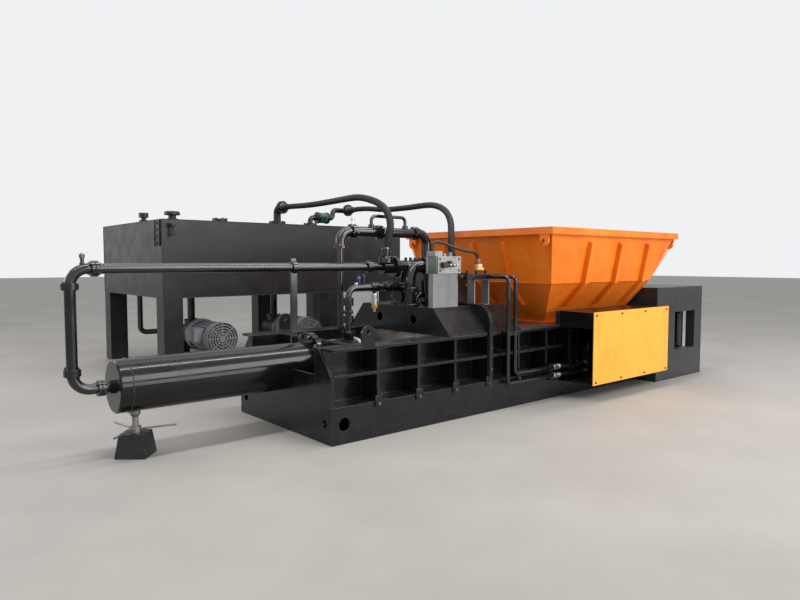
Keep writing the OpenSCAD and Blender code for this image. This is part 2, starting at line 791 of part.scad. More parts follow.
module gate_barrels() {
    color(c_black) for (s = [-1, 1]) translate([gate_cyl_x, s * gap_mid, base_h]) {
        rotate_extrude() polygon([
            [0, 0], [gate_cyl_od / 2, 0], [gate_cyl_od / 2, gate_cyl_h], [(gate_rod_d + fit) / 2, gate_cyl_h],
            [(gate_rod_d + fit) / 2, gate_cyl_h - cap_h], [gate_cyl_bore / 2, gate_cyl_h - cap_h],
            [gate_cyl_bore / 2, cap_h], [0, cap_h]
        ]);
        for (i = [0, 1]) translate([0, -s * line_dy[i], port_z[i] - base_h]) difference() {
            rotate([0, -90, 0]) cylinder(d = 50, h = gate_cyl_od / 2 + 28);
            translate([0, s * line_dy[i], -40]) cylinder(d = gate_cyl_bore + 6, h = 80);
        }
    }
}

module gate_rods() {
    rod_top = end_h - wing_h;
    color(c_steel) for (s = [-1, 1]) translate([gate_cyl_x, s * gap_mid, base_h + cap_h + 10]) {
        cylinder(d = gate_cyl_bore - fit, h = gate_piston_t);
        cylinder(d = gate_rod_d, h = rod_top - base_h - cap_h - 10);
    }
}

// Sheet box on the near side, open at its left below the deck
module guard_box() {
    x1 = guard_x + guard_len;
    y0 = -guard_y;
    lip = 50;
    color(c_black) difference() {
        union() {
        box([guard_x, y0, guard_top - guard_t], [x1, -base_half, guard_top]);
        box([guard_x - 65, -base_half, deck_top], [x1, -base_half + guard_t, guard_top]);
        box([guard_x, y0, body_top], [guard_x + guard_t, -base_half, guard_top]);
        box([x1 - guard_t, y0, guard_z], [x1, -base_half, guard_top]);
        box([guard_x, y0, guard_z], [x1, -base_half, guard_z + guard_t]);
        box([guard_x, y0, guard_z], [x1, y0 + guard_t, guard_z + lip]);
        box([guard_x, y0, guard_top - lip], [x1, y0 + guard_t, guard_top]);
        box([guard_x, y0, guard_z], [guard_x + lip, y0 + guard_t, guard_top]);
        box([x1 - lip, y0, guard_z], [x1, y0 + guard_t, guard_top]);
        }
        for (x = cover_bolt_x, z = cover_bolt_z) translate([x, y0 + guard_t + cut, z]) rotate([90, 0, 0])
            cylinder(d = 13, h = guard_t + 2 * cut);
        for (i = [0, 1]) translate([x1 - guard_t - cut, -gap_mid - line_dy[i], line_z[i]]) rotate([0, 90, 0])
            cylinder(d = 50, h = guard_t + 2 * cut);
    }
}
cover_bolt_x = [for (k = [0:3]) guard_x + 50 + k * (guard_len - 100) / 3];
cover_bolt_z = [guard_z + 30, guard_top - 30];
module guard_cover() {
    color(c_yellow) difference() {
        box([guard_x, -guard_y - cover_t, guard_z], [guard_x + guard_len, -guard_y, guard_top + 5]);
        for (x = cover_bolt_x, z = cover_bolt_z) translate([x, -guard_y + cut, z]) rotate([90, 0, 0])
            cylinder(d = 13, h = cover_t + 2 * cut);
    }
}
module cover_bolts() {
    color(c_grey) for (x = cover_bolt_x, z = cover_bolt_z)
        translate([x, -guard_y - cover_t, z]) rotate([90, 0, 0]) {
            cylinder(d = 26, h = 2.5);
            translate([0, 0, 2]) cylinder(d = 19, h = 8, $fn = 6);
            translate([0, 0, -cover_t - guard_t - 6]) cylinder(d = 12, h = cover_t + guard_t + 9);
        }
}

// Valve block behind the cover and the two lines to the near gate cylinder
gate_block_x = 3300;
gate_block_len = 160;
// Height and sideways shift of the two gate lines, and the ports they reach
line_z = [380, 440];
line_dy = [24, -26];
port_z = [380, base_h + gate_cyl_h - 70];
module gate_block() {
    x1 = gate_block_x + gate_block_len;
    color(c_steel) {
        box([gate_block_x, -gap_mid - 50, tube_low[0] - 60], [x1, -gap_mid + 50, line_z[1] + 50]);
        box([gate_block_x + 20, -gap_mid + 50 - cut, tube_low[0] - 50], [x1 - 20, -base_half, base_h - 5]);
        bar([gate_block_x + 60, -gap_mid, line_z[1] + 49], [gate_block_x + 60, -gap_mid, line_z[1] + 110], 54);
        bar([gate_block_x + 120, -gap_mid, line_z[1] + 49], [gate_block_x + 120, -gap_mid, line_z[1] + 80], 40);
    }
}
module tee_block(p, half) {
    box([p[0] - half, p[1] - half, p[2] - half], [p[0] + half, p[1] + half, p[2] + half]);
}
module gate_lines() {
    d = 30;
    half = d / 2 + 3;
    x0 = gate_block_x + gate_block_len;
    xe = gate_cyl_x - gate_cyl_od / 2 - 28;
    xa = gate_cyl_x - 270;
    xb = gate_cyl_x - 190;
    ya = gap_mid + line_dy[0];
    yb = gap_mid + line_dy[1];
    over = body_top + 90;
    color(c_black) {
        bar([x0, -ya, line_z[0]], [xe, -ya, port_z[0]], d);
        tee_block([xa, -ya, line_z[0]], half);
        pipe([[xa, -ya, line_z[0] + half - cut], [xa, -ya, over], [xa, ya, over], [xa, ya, port_z[0]],
              [xe, ya, port_z[0]]], d, 40);
        pipe([[x0, -yb, line_z[1]], [xb, -yb, line_z[1]], [xb, -yb, over], [xb, yb, over],
              [xb, yb, port_z[1]], [xe, yb, port_z[1]]], d, 28);
        tee_block([xb, -yb, port_z[1]], half);
        bar([xb + half - cut, -yb, port_z[1]], [xe, -yb, port_z[1]], d);
    }
}

// Two-slope hopper with its rim band and throat flange
function ring(z, left, right, half, grow) = [left - grow, right + grow, half + grow, z];
module hopper() {
    bottom = deck_top + hopper_t;
    top = rim_top - rim_h / 2;
    outer = [
        ring(deck_top, throat_left, throat_right, bore_half, hopper_t),
        ring(kink_z, kink_left, throat_right, kink_half, hopper_t),
        ring(top, rim_left + rim_w, rim_right - rim_w, rim_half - rim_w, hopper_t)
    ];
    inner = [
        ring(deck_top - cut, throat_left, throat_right, bore_half, 0),
        ring(kink_z, kink_left, throat_right, kink_half, 0),
        ring(top + cut, rim_left + rim_w, rim_right - rim_w, rim_half - rim_w, 0)
    ];
    color(c_orange) difference() {
        union() {
            loft(outer);
            box([throat_left - throat_flange, -bore_half - 90, deck_top],
                [throat_right + 55, bore_half + 90, bottom]);
            difference() {
                box([rim_left, -rim_half, rim_top - rim_h], [rim_right, rim_half, rim_top]);
                box([rim_left + rim_w, -rim_half + rim_w, rim_top - rim_h - cut],
                    [rim_right - rim_w, rim_half - rim_w, rim_top + cut]);
            }
        }
        loft(inner);
    }
}

// Half width and left edge of the hopper's outside at a height
function hop_half(z) = z > kink_z
    ? kink_half + (rim_half - rim_w - kink_half) * (z - kink_z) / (rim_top - rim_h / 2 - kink_z)
    : bore_half + (kink_half - bore_half) * (z - deck_top) / (kink_z - deck_top);
function hop_left(z) = z > kink_z
    ? kink_left + (rim_left + rim_w - kink_left) * (z - kink_z) / (rim_top - rim_h / 2 - kink_z)
    : throat_left + (kink_left - throat_left) * (z - deck_top) / (kink_z - deck_top);
function hop_right(z) = z > kink_z
    ? throat_right + (rim_right - rim_w - throat_right) * (z - kink_z) / (rim_top - rim_h / 2 - kink_z)
    : throat_right;
rib_top = 1665;
rib_low = 965;
module hopper_ribs() {
    grow = hopper_t + seat / 2;
    deep = grow + hopper_rib_d;
    color(c_orange) {
        for (k = [-1:1]) both_sides()
            along_x((rim_left + rim_right) / 2 + 25 + k * hopper_rib_pitch - hopper_rib_w / 2, hopper_rib_w)
                polygon([
                    [-hop_half(rib_low) - grow, rib_low], [-hop_half(kink_z) - grow, kink_z],
                    [-hop_half(rib_top) - grow, rib_top], [-hop_half(rib_top) - deep, rib_top - 30],
                    [-hop_half(kink_z) - deep, kink_z - 12], [-hop_half(rib_low + 40) - deep, rib_low + 20]
                ]);
        for (k = [-1:1]) {
            y = k * hopper_end_pitch - 10;
            along_y(y, 20) polygon([
                [hop_left(rib_low) - grow, rib_low], [hop_left(kink_z) - grow, kink_z],
                [hop_left(rib_top) - grow, rib_top], [hop_left(rib_top) - deep, rib_top - 30],
                [hop_left(kink_z) - deep, kink_z - 12], [hop_left(rib_low + 40) - deep, rib_low + 20]
            ]);
            along_y(y, 20) polygon([
                [hop_right(kink_z + 40) + grow, kink_z + 40], [hop_right(rib_top) + grow, rib_top],
                [hop_right(rib_top) + deep, rib_top - 30], [hop_right(kink_z + 60) + deep, kink_z + 40]
            ]);
        }
    }
}

// Hook plates under the corners of the rim
module hook_outline() {
    difference() {
        union() {
            translate([-55, -rim_h - 62]) square([110, 62]);
            translate([0, -rim_h - 62]) circle(r = 55);
        }
        translate([8, -rim_h - 66]) circle(r = 21);
        translate([8, -rim_h - 160]) square([60, 94]);
    }
}
module hopper_hooks() {
    color(c_orange) both_sides() {
        translate([rim_left + 6, -rim_half + 110, rim_top]) rotate([90, 0, 90]) linear_extrude(25) hook_outline();
        translate([rim_right - 31, -rim_half + 110, rim_top]) rotate([90, 0, 90]) linear_extrude(25) hook_outline();
    }
}

// Feed line from the end cap round to the manifold
cap_face = -cyl_reach - 25;
riser_top = feed_z - feed_bend - 3;
module feed_riser() {
    color(c_black) {
        pipe([[cap_face, 0, cyl_z], [-riser_x, 0, cyl_z], [-riser_x, 0, riser_top]], feed_d, feed_bend);
        pipe_union([-riser_x + 185, 0, cyl_z], [1, 0, 0], feed_d);
        pipe_union([-riser_x, 0, cyl_z + feed_bend + 12], [0, 0, 1], feed_d);
        bolt_flange([-riser_x, 0, riser_top], [0, 0, -1], feed_d + 2 * union_rim, union_t, 4, 12);
    }
}
feed_end = 1120;
module feed_pipe() {
    color(c_black) {
        pipe([[-riser_x, 0, riser_top], [-riser_x, 0, feed_z], [feed_end, 0, feed_z]], feed_d, feed_bend);
        bolt_flange([-riser_x, 0, riser_top], [0, 0, 1], feed_d + 2 * union_rim, union_t, 4, 12);
        bar([vent_x, 0, feed_z - 10], [vent_x, 0, vent_z], 36);
        translate([vent_x, 0, vent_z]) {
            cylinder(d = 26, h = 36);
            translate([0, 0, 35]) cylinder(d = 38, h = 26, $fn = 6);
        }
        pipe_union([-riser_x + feed_bend + 42, 0, feed_z], [1, 0, 0], feed_d);
        pipe_union([953, 0, feed_z], [1, 0, 0], feed_d);
    }
}

// Handle of the vent cock on the upper elbow
vent_x = -riser_x + 85;
vent_z = feed_z + 42;
module vent_lever() {
    color(c_steel) translate([vent_x, 0, vent_z + 61]) {
        cylinder(d = 18, h = 14);
        translate([-8, -8, 8]) cube([50, 16, 6]);
    }
}

// Flat post on the barrel with the clamp round the long pipe
post_x = 132;
module support_post() {
    color(c_grey) difference() {
        union() {
            box([post_x - 30, -12, cyl_z + cyl_od / 2 - 2], [post_x + 30, 12, feed_z - 20]);
            bar([post_x - 22, 0, feed_z], [post_x + 22, 0, feed_z], feed_d + 30);
            box([post_x - 22, -9, feed_z], [post_x + 22, 9, feed_z + feed_d / 2 + 42]);
        }
        bar([post_x - 40, 0, feed_z], [post_x + 40, 0, feed_z], feed_d + 2 * near);
        bar([post_x - 60, 0, cyl_z], [post_x + 60, 0, cyl_z], cyl_od + 2 * seat);
    }
}

// Rod side line from the barrel up and across to the manifold column
column_x = 1358;
column_d = 120;
switch_x = rod_line_x + 309;
module rod_side_pipe() {
    z0 = cyl_z + cyl_od / 2 + 30;
    color(c_black) {
        pipe([[rod_line_x, rod_line_y, z0], [rod_line_x, rod_line_y, rod_pipe_z],
              [column_x - column_d / 2 - 20, rod_line_y, rod_pipe_z]], rod_pipe_d, 90);
        bolt_flange([rod_line_x, rod_line_y, z0], [0, 0, 1], rod_pipe_d + 70, 30, 4, 18);
        pipe_union([rod_line_x, rod_line_y, 910], [0, 0, 1], rod_pipe_d);
        pipe_union([rod_line_x, rod_line_y, rod_pipe_z - 130], [0, 0, 1], rod_pipe_d);
        pipe_union([1170, rod_line_y, rod_pipe_z], [1, 0, 0], rod_pipe_d);
        bar([switch_x - 40, rod_line_y, rod_pipe_z], [switch_x + 40, rod_line_y, rod_pipe_z], rod_pipe_d + 26);
        bar([switch_x, rod_line_y, rod_pipe_z - 60], [switch_x, rod_line_y, rod_pipe_z], 40);
        bar([rod_line_x + 120, rod_line_y, rod_pipe_z], [rod_line_x + 120, rod_line_y, rod_pipe_z + 75], 30);
        bar([rod_line_x + 180, rod_line_y, rod_pipe_z], [rod_line_x + 180, rod_line_y, rod_pipe_z + 60], 26);
    }
}

// Large upper line from the barrel over to the back of the manifold
upper_right = 1830;
module upper_pipe() {
    z0 = cyl_z + cyl_od / 2;
    color(c_black) {
        bar([upper_left, upper_y, z0], [upper_left, upper_y, upper_z - 150], 58);
        bolt_flange([upper_left, upper_y, upper_z - 165], [0, 0, 1], upper_d + 36, 26, 4, 20);
        pipe([[upper_left, upper_y, upper_z - 142], [upper_left, upper_y, upper_z],
              [upper_right, upper_y, upper_z], [upper_right, upper_y, manifold_top]], upper_d, 115);
        pipe_union([rod_line_x + 175, upper_y, upper_z], [1, 0, 0], upper_d, 6);
        pipe_union([rod_line_x + 500, upper_y, upper_z], [1, 0, 0], upper_d, 6);
        pipe_union([upper_right - 170, upper_y, upper_z], [1, 0, 0], upper_d, 6);
        bolt_flange([upper_right, upper_y, manifold_top], [0, 0, 1], upper_d + 70, 32, 6, 20);
    }
}

// Small bridge pipe over the upper line
module pilot_bridge() {
    top = upper_z + 158;
    left = rod_line_x + 404;
    right = rod_line_x + 841;
    color(c_black) difference() {
        union() {
            pipe([[left, upper_y, upper_z], [left, upper_y, top], [right, upper_y, top],
                  [right, upper_y, upper_z]], 34, 50);
            for (x = [left, right]) bar([x, upper_y, upper_z], [x, upper_y, upper_z + upper_d / 2 + 24], 62);
        }
        bar([left - 60, upper_y, upper_z], [right + 60, upper_y, upper_z], upper_d + 2 * seat);
    }
}

// Black manifold group on top of the hood
module main_manifold() {
    seat = hood_top;
    high = hood_top + strap_t;
    x1 = manifold_x + manifold_len;
    color(c_black) {
        box([manifold_x, -manifold_y, high], [x1, manifold_y + 40, manifold_top]);
        box([manifold_x, -manifold_y, seat], [strap_x, manifold_y + 40, high + cut]);
        box([strap_x + strap_w, -manifold_y, seat], [x1, manifold_y + 40, high + cut]);
        bar([column_x, 0, seat + 30], [column_x, 0, feed_z - 110], column_d);
        elbow([column_x, 0, feed_z], [0, 0, 1], [1, 0, 0], 110, column_d);
        bar([column_x + 110, 0, feed_z], [manifold_x + 190, 0, feed_z], column_d);
        bar([column_x, 0, seat], [column_x, 0, seat + 30], column_d + 80);
        bolt_flange([column_x, 0, 1090], [0, 0, 1], column_d + 70, 34, 6, 20);
        bar([feed_end, 0, feed_z], [1180, 0, feed_z], feed_d + 60);
        bar([1180, 0, feed_z], [column_x + 60, 0, feed_z], 128);
        bolt_flange([1250, 0, feed_z], [1, 0, 0], 205, 34, 8, 20);
        box([manifold_x + 10, -110, manifold_top - cut], [manifold_x + 170, 110, feed_z + 70]);
        bar([column_x - column_d / 2 - 20, rod_line_y, rod_pipe_z], [column_x, rod_line_y, rod_pipe_z],
            rod_pipe_d + 30);
        for (k = [0:3]) bar([1430 + 62 * k, 0, feed_z + 40], [1430 + 62 * k, 0, feed_z + 92], 30);
        bolt_flange([return_port, 0, feed_z + 40], [0, 0, 1], 170, 41, 6, 16);
        bolt_flange([supply_port, 0, manifold_top - 1], [0, 0, 1], 170, 61, 6, 16);
        pipe([[manifold_x + 10, -90, 1125], [1465, -90, 1125], [1465, -90, seat]], 76, 70);
        bar([1465, -90, seat], [1465, -90, seat + 26], 120);
    }
}

// Pale valve block with its side cover on a folded sheet stand
block_front = -hood_half - 8;
block_x = stand_x + 54;
module block_stand() {
    y0 = -hood_half + 2;
    color(c_steel) difference() {
        box([stand_x, y0, hood_top], [stand_x + stand_w, y0 + stand_y, stand_top]);
        box([stand_x + 6, y0 + 6, hood_top + 8], [stand_x + stand_w - 6, y0 + stand_y + cut, stand_top - 8]);
    }
}
module valve_block() {
    top = stand_top + block_h;
    color(c_steel) {
        difference() {
            box([block_x, block_front, stand_top], [block_x + 305, block_front + block_y + 10, top]);
            for (i = [0, 1], j = [0, 1])
                translate([block_x + 26 + 252 * i, block_front - cut, stand_top + 28 + 108 * j])
                    rotate([-90, 0, 0]) cylinder(d = 24, h = 14 + cut);
        }
        box([block_x - 15, block_front + 8, stand_top + 8], [block_x + 1, block_front + 116, top - 8]);
        box([block_x - 11, block_front + 28, top - cut], [block_x + 84, block_front + 148, top + 48]);
        bar([block_x + 150, block_front + 80, top - cut], [block_x + 150, block_front + 80, top + 26], 56);
        bar([block_x + 235, block_front + 80, top - cut], [block_x + 235, block_front + 80, top + 38], 40);
    }
}
module solenoid_valve() {
    x0 = block_x + 40;
    z = stand_top + block_h / 2;
    color(c_grey) {
        box([x0, block_front - 36, z - 26], [x0 + 55, block_front, z + 26]);
        bar([x0 + 54, block_front - 18, z], [x0 + 160, block_front - 18, z], 34);
        bar([x0 + 159, block_front - 18, z], [x0 + 178, block_front - 18, z], 22);
        box([x0 + 84, block_front - 32, z + 10], [x0 + 118, block_front - 4, z + 38]);
    }
}

// Pressure switch and gauge cock under the rod side line
module pressure_switch() {
    x = switch_x;
    color(c_steel) {
        bar([x, rod_line_y, rod_pipe_z - 160], [x, rod_line_y, rod_pipe_z - 60], 62);
        translate([x, rod_line_y, rod_pipe_z - 205]) cylinder(d = 52, h = 46, $fn = 6);
        bar([x, rod_line_y, rod_pipe_z - 235], [x, rod_line_y, rod_pipe_z - 204], 24);
    }
}

// Tube manifold on a small portal stand
portal_x = strap_x + 55;
portal_w = 222;
module portal_stand() {
    y0 = -hood_half + 2;
    y1 = y0 + 90;
    color(c_steel) {
        for (x = [portal_x, portal_x + portal_w - 16]) box([x, y0, hood_top], [x + 16, y1, portal_top]);
        box([portal_x, y0, portal_top - 12], [portal_x + portal_w, y1, portal_top]);
        for (x = [portal_x, portal_x + portal_w - 66]) box([x, y0, hood_top], [x + 66, y1, hood_top + 10]);
    }
}
module tube_manifold() {
    y0 = -hood_half - 60;
    x0 = portal_x - 165;
    color(c_black) {
        box([x0, y0, portal_top], [tube_x[1] + 40, y0 + 90, portal_top + 52]);
        for (k = [0:2]) bar([x0 + 60 + 130 * k, y0 + 45, portal_top + 50], [x0 + 60 + 130 * k, y0 + 45, portal_top + 86], 40);
        bar([x0 - 60, y0 + 45, portal_top + 26], [x0, y0 + 45, portal_top + 26], 40);
        bar([portal_x + 60, y0 + 45, portal_top + 84], [portal_x + 60, y0 + 45, portal_top + 150], 34);
    }
}

// Two steel tubes over the edge, down the ribs and along to the guard box
module front_tubes() {
    color(c_black) for (k = [0, 1]) {
        pipe([[tube_x[k], -hood_half - 60, tube_top], [tube_x[k], -tube_y, tube_top],
              [tube_x[k], -tube_y, tube_low[k]], [tube_end + 110, -tube_y, tube_low[k]]], tube_d, 48);
        pipe_union([tube_end, -tube_y, tube_low[k]], [1, 0, 0], tube_d);
        bar([tube_end + 40, -tube_y, tube_low[k]], [tube_end + 110, -tube_y, tube_low[k]], 56);
    }
}
module tube_clamps() {
    z0 = body_top - 28;
    y1 = -base_half;
    x0 = tube_x[0] - 45;
    x1 = tube_x[1] + 45;
    color(c_black) difference() {
        union() {
            box([x0, -tube_y - 26, z0], [x1, y1, z0 + 36]);
            for (x = [x0 + 14, (tube_x[0] + tube_x[1]) / 2, x1 - 14])
                bar([x, -tube_y - 36, z0 + 18], [x, -tube_y, z0 + 18], 18);
        }
        for (x = tube_x) translate([x, -tube_y, z0 - cut]) cylinder(d = tube_d + 2 * seat, h = 36 + 2 * cut);
    }
}

// Screw jack under the overhanging cylinder
module jack_block() {
    color(c_black) translate([-jack_x, 0, 0]) rotate(-40) difference() {
        loft([[-jack_w / 2, jack_w / 2, jack_w / 2, 0],
              [-jack_top_w / 2, jack_top_w / 2, jack_top_w / 2, jack_h]]);
        translate([0, 0, jack_h - jack_travel - 40]) cylinder(d = jack_d + 4, h = jack_travel + 40 + cut);
    }
}
module jack_screw() {
    color(c_steel) translate([-jack_x, 0, 0]) difference() {
        union() {
            translate([0, 0, jack_h - 30]) cylinder(d = jack_d, h = jack_under - jack_pad - jack_h + 30);
            translate([0, 0, jack_under - jack_pad - 22]) cylinder(d1 = jack_d, d2 = 78, h = 23);
            translate([0, 0, jack_under - jack_pad]) cylinder(d = 78, h = jack_pad + 8);
        }
        translate([-60, 0, cyl_z]) rotate([0, 90, 0]) cylinder(d = cyl_od + 2 * near, h = 120);
    }
}
module jack_nut() {
    color(c_steel) translate([-jack_x, 0, jack_h + near]) difference() {
        union() {
            cylinder(d = 84, h = nut_h);
            for (a = [-17, 103, 223]) rotate(a) bar([30, 0, nut_h / 2], [tommy_len, 0, nut_h / 2 + 6], 14);
        }
        translate([0, 0, -cut]) cylinder(d = jack_d + 2 * near, h = nut_h + 2 * cut);
    }
}

// Oil tank with its top covers and fittings
module oil_tank() {
    x1 = tank_x + tank_len;
    y1 = tank_y + tank_w;
    color(c_tank) {
        difference() {
            box([tank_x, tank_y, tank_z], [x1, y1, tank_top]);
            box([tank_x + tank_t, tank_y + tank_t, tank_z + tank_t],
                [x1 - tank_t, y1 - tank_t, tank_top - tank_t]);
        }
        for (x = [tank_x + 700, tank_x + 2900]) translate([x, tank_y + 1500, tank_top]) {
            cylinder(d = 520, h = 24);
            for (k = [0:11]) rotate(k * 30) translate([230, 0, 23]) cylinder(d = 24, h = 14, $fn = 6);
        }
        translate([tank_x + 170, tank_y + 110, tank_top]) rotate_extrude() polygon([
            [0, 0], [66, 0], [66, 12], [46, 12], [46, 50], [94, 56], [94, 84], [80, 100], [0, 106]
        ]);
        translate([tank_x + 90, tank_y + 900, tank_top]) {
            cylinder(d = 110, h = 30);
            cylinder(d = 60, h = 96);
            translate([0, 0, 60]) cylinder(d = 120, h = 62);
        }
        bolt_flange([tank_x + 790, tank_y + 110, tank_top], [0, 0, 1], 190, 34, 6, 16);
        pipe([[return_x, tank_y + 190, tank_top - cut], [return_x, tank_y + 190, return_z],
              [return_x, tank_y + 30, return_z]], hose_d + 30, 80);
        bolt_flange([return_x, tank_y + 190, tank_top], [0, 0, 1], 230, 30, 8, 20);
        bolt_flange([return_x, tank_y + 60, return_z], [0, -1, 0], 176, 30, 6, 18);
    }
}
module tank_legs() {
    xs = [tank_x, tank_x + 0.64 * tank_len, tank_x + tank_len - leg_w];
    color(c_tank) for (x = xs, y = [tank_y, tank_y + tank_w - leg_w]) difference() {
        box([x, y, 0], [x + leg_w, y + leg_w, tank_z]);
        box([x + 10, y + 10, 12], [x + leg_w - 10, y + leg_w - 10, tank_z - 12]);
    }
}

// Motors on skids: finned frames, terminal boxes and fan cowls
motor_xs = [motor_x, motor_x + motor_pitch];
module motors() {
    r = motor_d / 2;
    color(c_grey) for (x = motor_xs) translate([x, fan_y, motor_z]) {
        difference() {
            union() {
                rotate([-90, 0, 0]) {
                    cylinder(d = motor_d, h = 130);
                    translate([0, 0, 129]) cylinder(d = motor_d - 50, h = motor_len - 100);
                    translate([0, 0, motor_len - 10]) cylinder(d = motor_d + 20, h = 70);
                }
                for (k = [0:23]) rotate([0, k * 15, 0]) translate([r - 30, 130, -3]) cube([24, motor_len - 140, 6]);
                translate([-r - 90, 200, -40]) cube([120, 210, 170]);
                translate([-r + 10, 160, 20 - motor_z + 130]) cube([2 * r - 20, 420, motor_z - r - 110]);
            }
            rotate([-90, 0, 0]) {
                translate([0, 0, 12]) cylinder(d = motor_d - 16, h = 100);
                translate([0, 0, 100]) cylinder(d = shaft_d + 2 * near, h = motor_len);
                for (d = [80:70:360]) translate([0, 0, -cut]) difference() {
                    cylinder(d = d + 40, h = 14);
                    translate([0, 0, -cut]) cylinder(d = d, h = 18);
                    for (a = [0:45:135]) rotate(a) translate([-r, -6, -cut]) cube([2 * r, 12, 18]);
                }
            }
        }
    }
    color(c_black) for (x = motor_xs, s = [-1, 1])
        box([x + s * 150 - 40, fan_y + 120, 0], [x + s * 150 + 40, fan_y + 1250, 150]);
}
module motor_rotor(i) {
    color(c_steel) translate([motor_xs[i], fan_y, motor_z]) rotate([-90, 0, 0]) {
        translate([0, 0, 30]) cylinder(d = shaft_d, h = motor_len + 70);
        translate([0, 0, 34]) cylinder(d = 130, h = 50);
        for (k = [0:6]) rotate(k * 360 / 7) translate([60, -4, 36]) cube([110, 8, 46]);
    }
}
pump_y = fan_y + motor_len + 60;
module pumps() {
    color(c_black) for (x = motor_xs) translate([x, pump_y, motor_z]) {
        difference() {
            rotate([-90, 0, 0]) cylinder(d = motor_d - 40, h = 180);
            rotate([-90, 0, 0]) translate([0, 0, -cut]) cylinder(d = motor_d - 90, h = 165);
        }
        rotate([-90, 0, 0]) translate([0, 0, 179]) cylinder(d = pump_d, h = pump_len);
        translate([-70, pump_len - 60, pump_d / 2 - 20]) cube([140, 150, 60]);
        translate([-motor_d / 2 + 15, pump_len, -motor_z + 150]) cube([motor_d - 30, 50, motor_z - 150 - 60]);
    }
}
module suction_pipes() {
    y = pump_y + pump_len + 15;
    color(c_black) {
        for (x = motor_xs) {
            bar([x, y, motor_z + pump_d / 2 + 40], [x, y, tank_z], 100);
            bolt_flange([x, y, motor_z + pump_d / 2 + 40], [0, 0, 1], 190, 26, 6, 18);
            bolt_flange([x, y, tank_z], [0, 0, -1], 190, 27, 6, 18);
        }
        pipe([[tank_x + 130, tank_y + 1250, tank_z], [tank_x + 130, tank_y + 1250, 480],
              [tank_x + 560, tank_y + 1250, 480]], 70, 80);
    }
}

// Green valve on the tank top and the neck that leads to the supply hose
valve_x = 2400;
valve_z = 2082;
valve_d = 150;
stem_y = tank_y + 150 - valve_d / 2 - 30;
module tank_valve() {
    y = tank_y + 150;
    rise = valve_x + 187;
    neck = valve_x - 200;
    color(c_black) {
        pipe([[neck, y, tank_top], [neck, y, valve_z], [rise, y, valve_z], [rise, y, supply_z],
              [supply_x, y, supply_z], [supply_x, tank_y + 30, supply_z]], hose_d, 60);
        bolt_flange([neck, y, tank_top], [0, 0, 1], 190, 24, 6, 18);
        bolt_flange([supply_x, tank_y + 60, supply_z], [0, -1, 0], 170, 30, 6, 18);
        for (x = [valve_x - 92, valve_x + 62]) bolt_flange([x, y, valve_z], [1, 0, 0], 165, 30, 6, 18);
        bar([valve_x - 62, y, valve_z], [valve_x + 62, y, valve_z], valve_d);
        bar([valve_x, y, valve_z], [valve_x, stem_y, valve_z], 44);
    }
}
module tank_valve_lever() {
    color(c_steel) translate([valve_x, stem_y, valve_z]) rotate([90, 0, 0]) {
        cylinder(d = 40, h = 22);
        translate([-190, -13, 6]) cube([200, 26, 10]);
    }
}

module return_hose() { color(c_rubber) hose_tube(return_route, hose_d, 12, [1, 0, 0]); }
module supply_hose() { color(c_rubber) hose_tube(supply_route, hose_d, 12, [1, 0, 0]); }
module gate_hose_upper() { color(c_rubber) hose_tube(gate_upper_route, gate_hose_d, 10, [0, 0, 1]); }
module gate_hose_lower() { color(c_rubber) hose_tube(gate_lower_route, gate_hose_d, 10, [0, 0, 1]); }

base_frame();
press_body();
side_walls();
deck_plate();
hood();
saddle_frame();
cylinder_barrel();
cylinder_cap();
cylinder_gland();
flange_bolts();
piston();
piston_rod();
ram();
ram_liners();
end_frame();
end_walls();
bale_chamber();
discharge_gate();
gate_barrels();
gate_rods();
guard_box();
guard_cover();
cover_bolts();
gate_block();
gate_lines();
hopper();
hopper_ribs();
hopper_hooks();
feed_riser();
feed_pipe();
vent_lever();
support_post();
rod_side_pipe();
upper_pipe();
pilot_bridge();
main_manifold();
valve_block();
solenoid_valve();
block_stand();
pressure_switch();
tube_manifold();
portal_stand();
front_tubes();
tube_clamps();
jack_block();
jack_screw();
jack_nut();
oil_tank();
tank_legs();
motors();
motor_rotor(0);  // motor_rotor_1
motor_rotor(1);  // motor_rotor_2
pumps();
suction_pipes();
tank_valve();
tank_valve_lever();
return_hose();
supply_hose();
gate_hose_upper();
gate_hose_lower();
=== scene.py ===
# %% [markdown]
# A horizontal scrap baler presses loose metal into bales. It has a long black press body with
# a ram inside, an orange hopper over it, a yellow guard cover, a dark end frame with a lifting
# gate, and an oil tank on legs that two large hoses join to the valves. The CAD model gives
# every rigid shape in metres, and its numbers also say where small pieces go. This lesson
# dresses it: hoses, paint, wear, weld beads and small fittings are made here.

# %% Load the frame
import json
import math
import random

import bmesh
import bpy
from mathutils import Matrix, Vector


